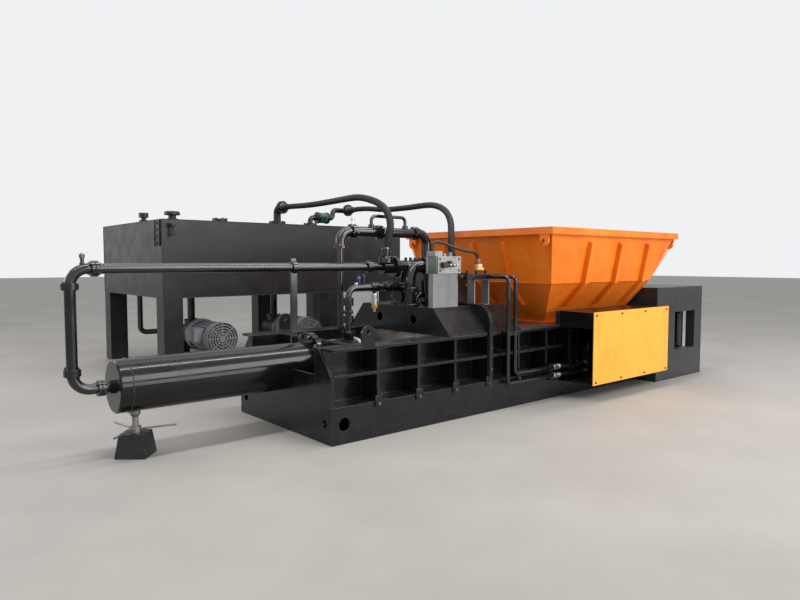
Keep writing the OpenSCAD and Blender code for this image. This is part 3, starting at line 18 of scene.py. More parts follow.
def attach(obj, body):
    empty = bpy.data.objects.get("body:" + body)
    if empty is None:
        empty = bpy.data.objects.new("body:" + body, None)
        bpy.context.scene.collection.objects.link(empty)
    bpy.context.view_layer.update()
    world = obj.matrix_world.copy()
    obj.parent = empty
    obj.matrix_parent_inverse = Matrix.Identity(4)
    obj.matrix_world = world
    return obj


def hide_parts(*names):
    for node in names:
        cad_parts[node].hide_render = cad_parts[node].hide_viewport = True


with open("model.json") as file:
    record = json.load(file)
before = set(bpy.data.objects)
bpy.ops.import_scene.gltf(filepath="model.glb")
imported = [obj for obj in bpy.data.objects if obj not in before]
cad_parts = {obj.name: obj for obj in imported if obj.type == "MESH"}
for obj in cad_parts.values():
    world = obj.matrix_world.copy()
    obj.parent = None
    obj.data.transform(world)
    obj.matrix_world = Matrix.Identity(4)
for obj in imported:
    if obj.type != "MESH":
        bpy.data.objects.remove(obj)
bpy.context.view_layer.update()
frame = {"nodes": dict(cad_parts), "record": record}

# %% [markdown]
# The photograph was taken from near the end of the main cylinder, with the lens at eye height.
# A camera could be placed by trial, but the long lines of the press body meet in vanishing
# points. These fix the heading and the lens, and known sizes then fix the place. With the same
# camera here, a render can be compared with the photograph region by region.

# %% Camera
EYE = Vector((-2.777, -4.890, 1.450))
HEADING = math.radians(49.81)
DIP = math.radians(3.44)
LENS_MM = 28.8
FILM_WIDTH_MM = 36.0
VIEW_REACH = 120.0

lens = bpy.data.cameras.new("eye")
lens.lens = LENS_MM
lens.sensor_width = FILM_WIDTH_MM
lens.clip_end = VIEW_REACH
eye = bpy.data.objects.new("eye", lens)
eye.location = EYE
eye.rotation_euler = (math.radians(90) - DIP, 0.0, HEADING - math.radians(90))
bpy.context.collection.objects.link(eye)
bpy.context.scene.camera = eye
bpy.context.scene.view_settings.view_transform = "Standard"
print("camera at", tuple(round(c, 2) for c in eye.location))

# %% [markdown]
# Four hoses hang free: two large ones from the oil tank to the valves, and two short ones
# behind the guard. A simulation could let them sag, but each already has a solid in the CAD
# model, and its route there was fitted to the photograph. So the same points are repeated
# here, in metres, from one fitting to the other.

# %% Routes of the hoses
RETURN_ROUTE = [
    (1.690, 2.880, 2.190), (1.690, 2.780, 2.190), (1.690, 2.625, 2.187), (1.690, 2.475, 2.182),
    (1.685, 2.320, 2.178), (1.675, 2.170, 2.175), (1.660, 2.015, 2.173), (1.638, 1.865, 2.171),
    (1.610, 1.715, 2.169), (1.576, 1.565, 2.166), (1.538, 1.420, 2.162), (1.498, 1.270, 2.159),
    (1.456, 1.125, 2.154), (1.415, 0.975, 2.150), (1.376, 0.830, 2.145), (1.341, 0.680, 2.135),
    (1.312, 0.535, 2.116), (1.288, 0.385, 2.084), (1.270, 0.240, 2.040), (1.254, 0.105, 1.966),
    (1.236, 0.010, 1.840), (1.198, -0.014, 1.684), (1.170, 0.000, 1.520), (1.170, 0.000, 1.480),
]
SUPPLY_ROUTE = [
    (2.790, 2.880, 2.205), (2.790, 2.780, 2.205), (2.787, 2.625, 2.207), (2.781, 2.470, 2.203),
    (2.771, 2.315, 2.191), (2.757, 2.160, 2.175), (2.739, 2.010, 2.160), (2.717, 1.855, 2.151),
    (2.690, 1.700, 2.146), (2.660, 1.550, 2.142), (2.626, 1.400, 2.138), (2.589, 1.250, 2.135),
    (2.549, 1.100, 2.133), (2.506, 0.950, 2.130), (2.460, 0.800, 2.124), (2.412, 0.655, 2.111),
    (2.361, 0.510, 2.085), (2.308, 0.370, 2.042), (2.252, 0.242, 1.976), (2.193, 0.135, 1.878),
    (2.136, 0.067, 1.749), (2.098, 0.030, 1.601), (2.104, 0.000, 1.450), (2.104, 0.000, 1.390),
]
GATE_UPPER_ROUTE = [
    (2.800, -0.832, 0.345), (2.836, -0.832, 0.345), (2.872, -0.832, 0.343), (2.908, -0.833, 0.340),
    (2.944, -0.835, 0.335), (2.980, -0.838, 0.330), (3.016, -0.841, 0.325), (3.052, -0.844, 0.321),
    (3.088, -0.847, 0.320), (3.124, -0.850, 0.322), (3.160, -0.853, 0.327), (3.196, -0.855, 0.334),
    (3.232, -0.856, 0.340), (3.268, -0.856, 0.345), (3.300, -0.856, 0.345),
]
GATE_LOWER_ROUTE = [
    (2.800, -0.832, 0.255), (2.836, -0.832, 0.255), (2.872, -0.832, 0.255), (2.908, -0.833, 0.254),
    (2.944, -0.835, 0.252), (2.980, -0.838, 0.250), (3.016, -0.841, 0.248), (3.052, -0.844, 0.247),
    (3.088, -0.847, 0.246), (3.124, -0.850, 0.247), (3.160, -0.853, 0.249), (3.196, -0.855, 0.252),
    (3.232, -0.856, 0.254), (3.268, -0.856, 0.255), (3.300, -0.856, 0.255),
]
LARGE_HOSE, SHORT_HOSE = 0.072, 0.040
HOSES = {
    "return_hose": (RETURN_ROUTE, LARGE_HOSE),
    "supply_hose": (SUPPLY_ROUTE, LARGE_HOSE),
    "gate_hose_upper": (GATE_UPPER_ROUTE, SHORT_HOSE),
    "gate_hose_lower": (GATE_LOWER_ROUTE, SHORT_HOSE),
}
print("hose routes with", [len(route) for route, diameter in HOSES.values()], "points")

# %% [markdown]
# A hose could be a mesh of rings, but a curve with a round section keeps an even thickness
# round every bend, and its points stay easy to move. Automatic handles make one smooth line
# through all the points. The section is one metre, and each point's radius scales it down to
# the hose: Blender counts a point's radius in the curve's box, so the box stays slim.

# %% Smooth curve
def smooth_curve(name, route, radius):
    """One open spline with a round section through the route's points."""
    curve = bpy.data.curves.new(name, "CURVE")
    curve.dimensions = "3D"
    curve.bevel_depth = 1.0
    curve.bevel_resolution = 5
    curve.resolution_u = 6
    curve.use_fill_caps = True
    spline = curve.splines.new("BEZIER")
    spline.bezier_points.add(len(route) - 1)
    for point, place in zip(spline.bezier_points, route):
        point.co = place
        point.radius = radius
        point.handle_left_type = point.handle_right_type = "AUTO"
    made = bpy.data.objects.new(name, curve)
    bpy.context.collection.objects.link(made)
    return made


def route_length(route):
    return sum((Vector(b) - Vector(a)).length for a, b in zip(route, route[1:]))


print("curve builder ready")

# %% [markdown]
# Each hose rides on the frame, stands for its CAD solid, which is hidden, and has its real
# thickness; its length is printed. Both ends go into fittings on the machine. High-pressure
# hose is stiff, because steel wire is wound in its wall.

# %% Hoses
hoses = {}
for hose_name, (route, diameter) in HOSES.items():
    hose = smooth_curve(hose_name + "_skin", route, diameter / 2)
    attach(hose, "frame")
    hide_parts(hose_name)
    hoses[hose_name] = hose
    print(hose_name, "length", round(route_length(route), 3))

# %% [markdown]
# Every finish is a network of nodes. Nodes can be added and linked one by one, which takes
# four lines for each. A small builder keeps the networks short to read: it adds a node, sets
# plain numbers on its sockets, and links the sockets that come from another node.

# %% Node builder
def rgb(r, g, b):
    return (r, g, b, 1.0)


class NodeNet:
    """A material under construction, with short calls that add and link its nodes."""

    def __init__(self, name):
        self.material = bpy.data.materials.new(name)
        self.material.use_nodes = True
        self.tree = self.material.node_tree
        self.shader = self.tree.nodes["Principled BSDF"]
        self.place = self.tree.nodes.new("ShaderNodeTexCoord").outputs["Object"]
        self.geometry = self.tree.nodes.new("ShaderNodeNewGeometry")

    def put(self, socket, value):
        if isinstance(value, bpy.types.NodeSocket):
            self.tree.links.new(value, socket)
        elif value is not None:
            socket.default_value = value

    def add(self, kind, out=0, settings=None, **sockets):
        made = self.tree.nodes.new("ShaderNode" + kind)
        for key, value in (settings or {}).items():
            setattr(made, key, value)
        for key, value in sockets.items():
            index = int(key[1:]) if key[1:].isdigit() else key
            self.put(made.inputs[index], value)
        return made.outputs[out]

    def span(self, value, low, high, to_low=0.0, to_high=1.0):
        return self.add("MapRange", i0=value, i1=low, i2=high, i3=to_low, i4=to_high)

    def math(self, operation, a, b=0.0):
        return self.add("Math", settings={"operation": operation}, i0=a, i1=b)

    def times(self, *factors):
        product = factors[0]
        for factor in factors[1:]:
            product = self.math("MULTIPLY", product, factor)
        return product

    def axis_of(self, vector, axis):
        return self.add("SeparateXYZ", out=axis, i0=vector)

    def blend(self, amount, first, second):
        made = self.tree.nodes.new("ShaderNodeMix")
        made.data_type = "RGBA"
        for index, value in ((0, amount), (6, first), (7, second)):
            self.put(made.inputs[index], value)
        return made.outputs[2]


print("node builder ready")

# %% [markdown]
# A second layer of the builder knows what surfaces need: noise, a mask of what faces up, a
# rounded edge and a bump. Patterns could follow UVs, but each piece would need its own layout,
# so they use object coordinates. These are metres here, and a scratch or a speck has its true
# size on every piece. The rounded edge comes from a bevel in the shader, because the CAD
# plates themselves must keep their exact shape.

# %% Surface patterns
UP = 2
EDGE_STARTS, EDGE_FULL = 0.98, 0.75


class Finish(NodeNet):
    """A node network with the patterns that paint, metal and rubber share."""

    def noise(self, scale, detail=4.0, rough=0.55, stretch=None, warp=0.0):
        place = self.place
        if stretch:
            place = self.add("Mapping", i0=self.place, Scale=stretch)
        return self.add("TexNoise", Vector=place, Scale=scale, Detail=detail,
                        Roughness=rough, Distortion=warp)

    def facing_up(self, low, high):
        return self.span(self.axis_of(self.geometry.outputs["Normal"], UP), low, high)

    def soft_edges(self, radius):
        return self.add("Bevel", settings={"samples": 3}, Radius=radius)

    def edge_mask(self, rounded):
        turned = self.add("VectorMath", settings={"operation": "DOT_PRODUCT"}, out=1,
                          i0=rounded, i1=self.geometry.outputs["Normal"])
        return self.span(turned, EDGE_STARTS, EDGE_FULL)

    def bump(self, height, strength, distance, normal=None):
        return self.add("Bump", Height=height, Strength=strength, Distance=distance,
                        Normal=normal)

    def finish(self, color, roughness, normal, metallic=0.0, shine=0.5):
        for socket, value in (("Base Color", color), ("Roughness", roughness),
                              ("Normal", normal), ("Metallic", metallic)):
            self.put(self.shader.inputs[socket], value)
        self.shader.inputs["Specular IOR Level"].default_value = shine
        return self.material


print("surface patterns ready")

# %% [markdown]
# The press is rolled plate under black paint. Such paint has broad patches where the spray
# was thicker, a cloudy middle scale, and faint runs down upright faces. One noise could stand
# for all of it, but three at their own scales look like paint and not like clouds. Dust lies
# on what faces up, and a little splashes on the lowest half metre.

# %% Patches, runs and dust
SPLASH_TOP = 0.45


def sprayed_color(f, base, patch):
    """Base paint with thicker patches, clouds and darker runs."""
    broad = f.span(f.noise(1.6, 5.0), 0.35, 0.65)
    cloudy = f.span(f.noise(7.5, 6.0, 0.62), 0.38, 0.66)
    runs = f.span(f.noise(1.0, 4.0, 0.6, stretch=(9.0, 9.0, 0.9)), 0.5, 0.72)
    color = f.blend(broad, rgb(*base), rgb(*patch))
    color = f.blend(f.times(cloudy, 0.35), color, rgb(*[c * 1.7 for c in base]))
    return f.blend(f.times(runs, 0.28), color, rgb(*[c * 0.55 for c in base]))


def settled_dust(f, dust):
    """Mask of the dust on upward faces and of the splashes near the floor."""
    speck = f.span(f.noise(26.0, 6.0, 0.7), 0.32, 0.7)
    film = f.times(f.facing_up(0.25, 0.95), speck, dust)
    low = f.span(f.axis_of(f.place, UP), SPLASH_TOP, 0.0, 0.0, 0.5 * dust)
    splash = f.times(low, f.span(f.noise(9.0, 6.0, 0.68), 0.42, 0.72))
    return f.math("MAXIMUM", film, splash)


print("paint patterns ready")

# %% [markdown]
# Edges of plate are rubbed where chains and tools touch them; on the body their light colour
# is partly wear and partly a painted highlight along the rounded edges. The mask compares the
# rounded normal with the true one: they differ only near an edge. Orange peel is a fine bump
# that breaks up reflections, and a slow wave under it stands for plate that is never quite flat.
# The green tank valve has black flanges, so a finish may also keep its paint to a band in X.

# %% Painted plate
def within_band(f, middle, half):
    """One where X lies within half of the middle, and zero elsewhere."""
    reach = f.math("ABSOLUTE", f.math("SUBTRACT", f.axis_of(f.place, 0), middle))
    return f.math("LESS_THAN", reach, half)


def painted_plate(name, base, patch, dust=0.35, gloss=0.36, wear=0.6, peel=0.12,
                  bare_and_glint=(0.16, 0.15, 0.14), dust_tint=(0.20, 0.17, 0.14), edge=0.004,
                  shine=0.36, chips=(0.50, 0.66), band=None):
    f = Finish(name)
    dusty = settled_dust(f, dust)
    color = f.blend(dusty, sprayed_color(f, base, patch), rgb(*dust_tint))
    rounded = f.soft_edges(edge)
    chipped = f.span(f.noise(21.0, 5.0, 0.7), *chips)
    # Rubbed edges show the bare colour; on the body it is also a painted highlight on the edges.
    color = f.blend(f.times(f.edge_mask(rounded), chipped, wear), color, rgb(*bare_and_glint))
    if band:
        middle, half, beside = band
        color = f.blend(within_band(f, middle, half), rgb(*beside), color)
    rough = f.span(f.noise(5.0, 5.0), 0.3, 0.7, gloss - 0.07, gloss + 0.1)
    rough = f.math("ADD", rough, f.times(dusty, 0.45))
    wavy = f.bump(f.noise(3.2, 2.0), 0.25, 0.004, rounded)
    skin = f.bump(f.noise(160.0, 3.0), peel, 0.0008, wavy)
    return f.finish(color, rough, skin, shine=shine)


print("painted plate ready")

# %% [markdown]
# The press body is the most rubbed, and its light edges are partly wear and partly a painted
# highlight. Its deck is glossier from the scrap that slides over it, and browner with dust and
# a painted reflection of the orange hopper. Pipes and barrel are the glossiest, and castings
# have a rougher skin. Each paint could have a network of its own, but one recipe gives all
# twelve, and a table holds only what differs.

# %% Paints of the machine
PLATE_PAINTS = {
    # The body's light, nearly unbroken rubbed edges are partly wear and partly painted highlight.
    "body_paint": dict(base=(0.0057, 0.0058, 0.0067), patch=(0.0098, 0.0096, 0.0115),
                       dust=0.14, gloss=0.22, wear=1.0, bare_and_glint=(0.22, 0.22, 0.225), edge=0.005,
                       dust_tint=(0.155, 0.148, 0.150), shine=0.30, chips=(0.26, 0.50)),
    # The deck's brown paint and dust tint are partly its own colour and dust, and partly a painted
    # reflection of the orange hopper.
    "deck_paint_and_reflection": dict(base=(0.030, 0.020, 0.018), patch=(0.050, 0.034, 0.030), dust=0.35,
                       gloss=0.17, bare_and_glint=(0.20, 0.18, 0.17), dust_tint=(0.24, 0.165, 0.14),
                       shine=0.6),
    "barrel_paint": dict(base=(0.0055, 0.0055, 0.006), patch=(0.008, 0.008, 0.0085),
                         dust=0.05, gloss=0.11, shine=0.32),
    "frame_paint": dict(base=(0.026, 0.0265, 0.029), patch=(0.042, 0.042, 0.045), dust=0.30,
                        gloss=0.40),
    "pipe_paint": dict(base=(0.0048, 0.0048, 0.0054), patch=(0.0075, 0.0075, 0.0082),
                       dust=0.08, gloss=0.13, edge=0.002, shine=0.7),
    "tank_paint": dict(base=(0.0125, 0.0125, 0.0145), patch=(0.021, 0.0205, 0.0225),
                       dust=0.25, gloss=0.34),
    "pump_iron": dict(base=(0.014, 0.014, 0.016), patch=(0.024, 0.024, 0.026), dust=0.3,
                      gloss=0.45, peel=0.4),
    "jack_iron": dict(base=(0.0085, 0.0095, 0.0115), patch=(0.015, 0.016, 0.018), dust=0.15,
                      gloss=0.40, peel=0.2),
    "stand_paint": dict(base=(0.20, 0.195, 0.20), patch=(0.26, 0.255, 0.26), dust=0.2,
                        gloss=0.45, bare_and_glint=(0.12, 0.11, 0.10), edge=0.002),
    "motor_paint": dict(base=(0.16, 0.17, 0.18), patch=(0.22, 0.23, 0.24), dust=0.3,
                        gloss=0.42, bare_and_glint=(0.1, 0.1, 0.1), edge=0.002),
    "switch_cover": dict(base=(0.105, 0.125, 0.11), patch=(0.15, 0.17, 0.15), dust=0.2,
                         gloss=0.4, edge=0.002),
    "valve_paint": dict(base=(0.008, 0.105, 0.055), patch=(0.014, 0.15, 0.08), dust=0.1,
                        gloss=0.3, edge=0.002, shine=0.5,
                        band=(2.400, 0.0615, (0.0062, 0.0062, 0.007))),
}
FINISHES = {name: painted_plate(name, **look) for name, look in PLATE_PAINTS.items()}
print("plate finishes", sorted(FINISHES))

# %% [markdown]
# The hopper and the guard cover are thinner sheet under bright paint. Black paint hides
# scratches, but bright paint shows them, so this recipe has its own: deeper orange in
# patches and runs, long thin scratches inside smeared areas, and dark chips on the edges.
# The yellow cover is cleaner, because nothing slides over it.

# %% Bright sheet paint
def scratches(f, strength):
    """Mask of long thin scratches that keep to some areas."""
    lines = f.span(f.noise(1.0, 7.0, 0.75, stretch=(60.0, 60.0, 5.0), warp=0.6), 0.69, 0.74)
    return f.times(lines, f.span(f.noise(2.4, 4.0), 0.48, 0.6), strength)


def bright_sheet(name, base, deep, light, scuff=0.5, gloss=0.33):
    f = Finish(name)
    color = f.blend(f.span(f.noise(1.1, 4.0), 0.36, 0.66), rgb(*base), rgb(*light))
    patchy = f.span(f.noise(4.5, 5.0, 0.6), 0.46, 0.74)
    color = f.blend(f.times(patchy, 0.5), color, rgb(*deep))
    runs = f.span(f.noise(1.0, 5.0, 0.6, stretch=(14.0, 14.0, 1.1)), 0.55, 0.78)
    color = f.blend(f.times(runs, 0.32 * scuff), color, rgb(*deep))
    marks = scratches(f, 0.55 * scuff)
    color = f.blend(marks, color, rgb(0.09, 0.05, 0.03))
    speck = f.span(f.noise(22.0, 6.0, 0.7), 0.35, 0.7)
    dusty = f.times(f.facing_up(0.35, 0.95), speck, 0.3)
    color = f.blend(dusty, color, rgb(0.42, 0.33, 0.22))
    rounded = f.soft_edges(0.003)
    chipped = f.span(f.noise(30.0, 5.0, 0.7), 0.56, 0.66)
    color = f.blend(f.times(f.edge_mask(rounded), chipped, 0.75), color, rgb(0.14, 0.08, 0.05))
    rough = f.span(f.noise(6.0, 5.0), 0.3, 0.7, gloss - 0.06, gloss + 0.12)
    rough = f.math("ADD", rough, f.times(f.math("MAXIMUM", dusty, marks), 0.4))
    wavy = f.bump(f.noise(2.1, 2.0), 0.35, 0.006, rounded)
    skin = f.bump(f.noise(150.0, 3.0), 0.1, 0.0008, wavy)
    return f.finish(color, rough, skin, shine=0.28)


FINISHES["hopper_paint"] = bright_sheet("hopper_paint", (0.87, 0.188, 0.013),
                                        (0.68, 0.095, 0.006), (0.95, 0.265, 0.024))
FINISHES["cover_paint"] = bright_sheet("cover_paint", (0.92, 0.42, 0.045),
                                       (0.84, 0.33, 0.026), (0.95, 0.49, 0.070), scuff=0.25)
print("sheet finishes done")

# %% [markdown]
# Bare metals need a different recipe. A machined face shows fine parallel lines, a chromed
# rod is nearly a mirror with thin oil smears, and a worn plate is bright where scrap slides
# and brown in its corners. The lines are noise stretched along one axis: it costs less than
# modelled grooves and holds at any distance. The grain says how far each axis is squeezed.

# %% Bare metals
def bare_metal(name, base, stain, rough, grain=(4.0, 160.0, 160.0), lines=0.25, stained=0.4):
    f = Finish(name)
    tarnish = f.span(f.noise(9.0, 6.0, 0.65), 0.42, 0.68)
    speck = f.span(f.noise(70.0, 4.0, 0.7), 0.58, 0.7)
    color = f.blend(f.times(tarnish, stained), rgb(*base), rgb(*stain))
    color = f.blend(f.times(speck, 0.3 * stained), color, rgb(*[c * 0.4 for c in stain]))
    brushed = f.noise(1.0, 3.0, 0.5, stretch=grain)
    dull = f.span(brushed, 0.3, 0.7, rough - 0.06, rough + 0.12)
    dull = f.math("ADD", dull, f.times(tarnish, 0.18))
    skin = f.bump(brushed, lines, 0.0004, f.soft_edges(0.0015))
    return f.finish(color, dull, skin, metallic=1.0)


METALS = {
    "machined_steel": dict(base=(0.52, 0.52, 0.51), stain=(0.30, 0.27, 0.23), rough=0.30),
    "hard_chrome": dict(base=(0.72, 0.73, 0.75), stain=(0.42, 0.38, 0.32), rough=0.13,
                        lines=0.06, stained=0.25),
    "fastener_steel": dict(base=(0.16, 0.155, 0.15), stain=(0.10, 0.08, 0.06), rough=0.42,
                           stained=0.7),
    "block_alloy": dict(base=(0.33, 0.33, 0.32), stain=(0.22, 0.21, 0.20), rough=0.44,
                        grain=(90.0, 90.0, 6.0), stained=0.35),
    "wear_steel": dict(base=(0.36, 0.34, 0.32), stain=(0.20, 0.12, 0.075), rough=0.45,
                       grain=(5.0, 60.0, 60.0), lines=0.5, stained=0.85),
    "jack_steel": dict(base=(0.30, 0.30, 0.29), stain=(0.17, 0.14, 0.12), rough=0.42,
                       grain=(120.0, 120.0, 12.0), lines=0.4, stained=0.5),
    "bright_zinc": dict(base=(0.70, 0.71, 0.72), stain=(0.45, 0.44, 0.42), rough=0.22,
                        lines=0.1, stained=0.2),
    "brass": dict(base=(0.72, 0.46, 0.13), stain=(0.40, 0.24, 0.08), rough=0.25, lines=0.1,
                  stained=0.35),
}
for name, look in METALS.items():
    FINISHES[name] = bare_metal(name, **look)
print("metal finishes", sorted(METALS))

# %% [markdown]
# A hose cover is rubber pressed against a cloth wrap while it cures, which leaves fine bands
# round the hose. The bands follow the curve's own UVs, because only those turn with the hose.
# Paler dust lies along its upper side.

# %% Hose rubber
def hose_cover(name, base, worn):
    f = Finish(name)
    along = f.tree.nodes.new("ShaderNodeTexCoord").outputs["UV"]
    bands = f.add("TexWave", settings={"bands_direction": "X"}, Vector=along, Scale=26.0,
                  Distortion=0.6, Detail=1.0, out=1)
    patch = f.span(f.noise(11.0, 5.0, 0.6), 0.4, 0.7)
    film = f.times(f.facing_up(0.2, 0.9), f.span(f.noise(40.0, 5.0), 0.35, 0.7), 0.22)
    color = f.blend(f.times(patch, 0.6), rgb(*base), rgb(*worn))
    color = f.blend(film, color, rgb(0.12, 0.10, 0.085))
    rough = f.span(f.noise(30.0, 4.0), 0.3, 0.7, 0.48, 0.66)
    skin = f.bump(f.noise(240.0, 3.0), 0.18, 0.0006, f.bump(bands, 0.12, 0.0012))
    return f.finish(color, rough, skin, shine=0.25)


FINISHES["hose_rubber"] = hose_cover("hose_rubber", (0.0135, 0.0115, 0.0100),
                                     (0.026, 0.0215, 0.0175))
print("hose rubber done")

# %% [markdown]
# The coil of the solenoid, the plug, the cable and the lamp lenses are moulded plastic. Moulds
# are etched, so even smooth plastic has a fine grain, and it is a bump here. A lens is the
# same plastic polished smoother.

# %% Moulded plastic
def moulded(name, base, rough=0.45):
    f = Finish(name)
    patch = f.times(f.span(f.noise(14.0, 4.0), 0.4, 0.68), 0.5)
    color = f.blend(patch, rgb(*base), rgb(*[c * 1.5 + 0.004 for c in base]))
    dull = f.span(f.noise(45.0, 4.0), 0.3, 0.7, rough - 0.06, rough + 0.1)
    grain = f.bump(f.noise(420.0, 2.0), 0.2, 0.0003, f.soft_edges(0.0015))
    return f.finish(color, dull, grain)


PLASTICS = {
    "coil_casing": dict(base=(0.013, 0.014, 0.018)),
    "cable_black": dict(base=(0.010, 0.010, 0.010), rough=0.5),
    "plug_red": dict(base=(0.42, 0.085, 0.055)),
    "plug_cream": dict(base=(0.66, 0.58, 0.42)),
    "plug_yellow": dict(base=(0.75, 0.50, 0.06)),
    "lens_blue": dict(base=(0.45, 0.62, 0.80), rough=0.18),
    "lens_pink": dict(base=(0.80, 0.52, 0.56), rough=0.18),
    "tap_blue": dict(base=(0.03, 0.10, 0.36), rough=0.35),
}
for name, look in PLASTICS.items():
    FINISHES[name] = moulded(name, **look)
print(len(FINISHES), "finishes")

# %% [markdown]
# Everything below is too small for the CAD model but shows in the photograph. Most of it is
# round: sleeves, taps, washers, flanges. Blender could screw a profile round an axis with a
# modifier, but a short function that revolves an outline puts many such pieces into one mesh.

# %% Turned pieces
def frame_along(place, direction):
    """Matrix whose Z runs along a direction from a place."""
    turn = Vector(direction).normalized().to_track_quat("Z", "Y")
    return Matrix.Translation(Vector(place)) @ turn.to_matrix().to_4x4()


def add_turned(mesh, outline, place, direction, sides=32):
    """Revolve an outline of (radius, height) pairs; a radius of zero closes an end."""
    matrix = frame_along(place, direction)
    rings = []
    for radius, height in outline:
        if radius == 0.0:
            rings.append([mesh.verts.new(matrix @ Vector((0.0, 0.0, height)))])
            continue
        rings.append([mesh.verts.new(matrix @ Vector((
            radius * math.cos(math.tau * k / sides), radius * math.sin(math.tau * k / sides),
            height))) for k in range(sides)])
    for low, high in zip(rings, rings[1:]):
        for k in range(sides):
            n = (k + 1) % sides
            corners = [low[k % len(low)], low[n % len(low)], high[n % len(high)],
                       high[k % len(high)]]
            unique = list(dict.fromkeys(corners))
            if len(unique) > 2:
                mesh.faces.new(unique)


print("turning ready")

# %% [markdown]
# A nut or a bolt head is the same outline with six sides, and its chamfer is what makes it
# look real. Folded and sawn pieces are blocks, and no real block has sharp corners, so each
# gets a small bevel in the mesh.

# %% Hexagons and blocks
def add_hexagon(mesh, place, direction, across, tall):
    """Hexagon with the turned chamfer that a real nut or bolt head has."""
    r = across / math.sqrt(3.0)
    outline = [(0.0, 0.0), (r * 0.97, 0.0), (r, tall * 0.1), (r, tall * 0.82), (r * 0.86, tall),
               (r * 0.3, tall), (0.0, tall)]
    add_turned(mesh, outline, place, direction, sides=6)


def add_block(mesh, low, high, ease=0.003):
    """Folded or sawn block with eased edges."""
    made = bmesh.ops.create_cube(mesh, size=1.0)["verts"]
    middle = (Vector(low) + Vector(high)) / 2
    size = Vector(high) - Vector(low)
    for vert in made:
        vert.co = middle + Vector((vert.co.x * size.x, vert.co.y * size.y, vert.co.z * size.z))
    edges = list({edge for vert in made for edge in vert.link_edges})
    bmesh.ops.bevel(mesh, geom=edges, offset=min(ease, min(size) * 0.3), segments=2,
                    profile=0.6, affect="EDGES")


print("hexagons and blocks ready")

# %% [markdown]
# A weld bead is a ridge with ripples, one for each place where the welder moved on. A bump
# could fake it, but a bead stands out against the light at a corner, so it is real geometry:
# small rings along the seam whose size swells and shrinks, with a little chance in each. The
# chance is seeded, and every run gives the same beads.

# %% Weld bead builders
def bead_ring(mesh, spots):
    return [mesh.verts.new(spot) for spot in spots]


def join_rings(mesh, low, high):
    for k in range(len(low)):
        n = (k + 1) % len(low)
        mesh.faces.new((low[k], low[n], high[n], high[k]))


def add_bead(mesh, start, stop, radius=0.005, step=0.007):
    """Weld bead: a rippled ridge laid along a seam."""
    start, stop = Vector(start), Vector(stop)
    matrix = frame_along(start, stop - start)
    length = (stop - start).length
    count = max(2, int(length / step))
    rings = []
    for i in range(count + 1):
        swell = radius * (1.0 + 0.16 * math.sin(i * 1.9) + random.uniform(-0.1, 0.1))
        if i in (0, count):
            swell *= 0.35
        rings.append(bead_ring(mesh, [matrix @ Vector((
            swell * math.cos(math.tau * k / 6), swell * math.sin(math.tau * k / 6),
            length * i / count)) for k in range(6)]))
    for low, high in zip(rings, rings[1:]):
        join_rings(mesh, low, high)
    mesh.faces.new(list(reversed(rings[0])))
    mesh.faces.new(rings[-1])


def add_ring_bead(mesh, centre, axis, ring, radius=0.004, count=180):
    """Weld bead that runs round a pipe or the barrel."""
    matrix = frame_along(centre, axis)
    rings = []
    for i in range(count):
        a = math.tau * i / count
        swell = radius * (1.0 + 0.2 * math.sin(i * 2.1) + random.uniform(-0.1, 0.1))
        rings.append(bead_ring(mesh, [matrix @ Vector((
            (ring + swell * math.cos(math.tau * k / 6)) * math.cos(a),
            (ring + swell * math.cos(math.tau * k / 6)) * math.sin(a),
            swell * math.sin(math.tau * k / 6))) for k in range(6)]))
    for low, high in zip(rings, rings[1:] + rings[:1]):
        join_rings(mesh, low, high)


random.seed(7)
print("bead builders ready")

# %% [markdown]
# A mesh becomes a piece when it is linked to the scene and rides on a body. All the pieces
# here are fixed, so they ride on the frame. Smooth shading with sharp edges above an angle
# keeps turned faces round and flats crisp. A list remembers which finish each piece wears.

# %% Piece maker
DRESS = []


def piece(name, mesh, finish, round_angle=35.0):
    """Turn a bmesh into an object that rides on the frame and wears a finish."""
    bmesh.ops.recalc_face_normals(mesh, faces=mesh.faces)
    data = bpy.data.meshes.new(name)
    mesh.to_mesh(data)
    mesh.free()
    data.shade_smooth()
    data.set_sharp_from_angle(angle=math.radians(round_angle))
    made = bpy.data.objects.new(name, data)
    bpy.context.collection.objects.link(made)
    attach(made, "frame")
    DRESS.append((made, finish))
    print(name, len(data.polygons), "faces")


def curve_piece(name, route, radius, finish):
    """Sweep a route that stays fixed on the frame and wears a finish."""
    made = smooth_curve(name, route, radius)
    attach(made, "frame")
    DRESS.append((made, finish))
    print(name, round(route_length(route), 3), "m long")


print("piece maker ready")

# %% [markdown]
# On the press body beads join the ribs to the sill and to the wall, and the hood to the body.
# Rings of bead run round the barrel and round a flange on the hood. A bead is half sunk in its
# seam. Both sides of the press are welded, so the loops run over the near and the far side,
# and a table lists the seams that run along the press.

# %% Beads of the press body
SIDES = (-1, 1)
RIB_X = [0.45 * k for k in range(10)]
RIB_THICK, BESIDE_RIB = 0.022, 0.024
RIB_ROOT, RIB_TIP = 0.566, 0.774
SILL_SEAM = 0.301
WALL_SEAM = 0.564
LONG_SEAMS = (
    # start x, stop x, y, z, bead radius, ripple step
    (0.02, 4.47, WALL_SEAM, SILL_SEAM, 0.005, 0.012),   # foot of the wall
    (1.302, 2.288, 0.776, 0.7615, 0.004, 0.009),        # foot of the hood
    (1.302, 2.288, 0.541, 1.0145, 0.003, 0.010),        # crown of the hood
    (2.295, 2.93, 0.776, 0.7805, 0.003, 0.012),         # edge of the deck
)

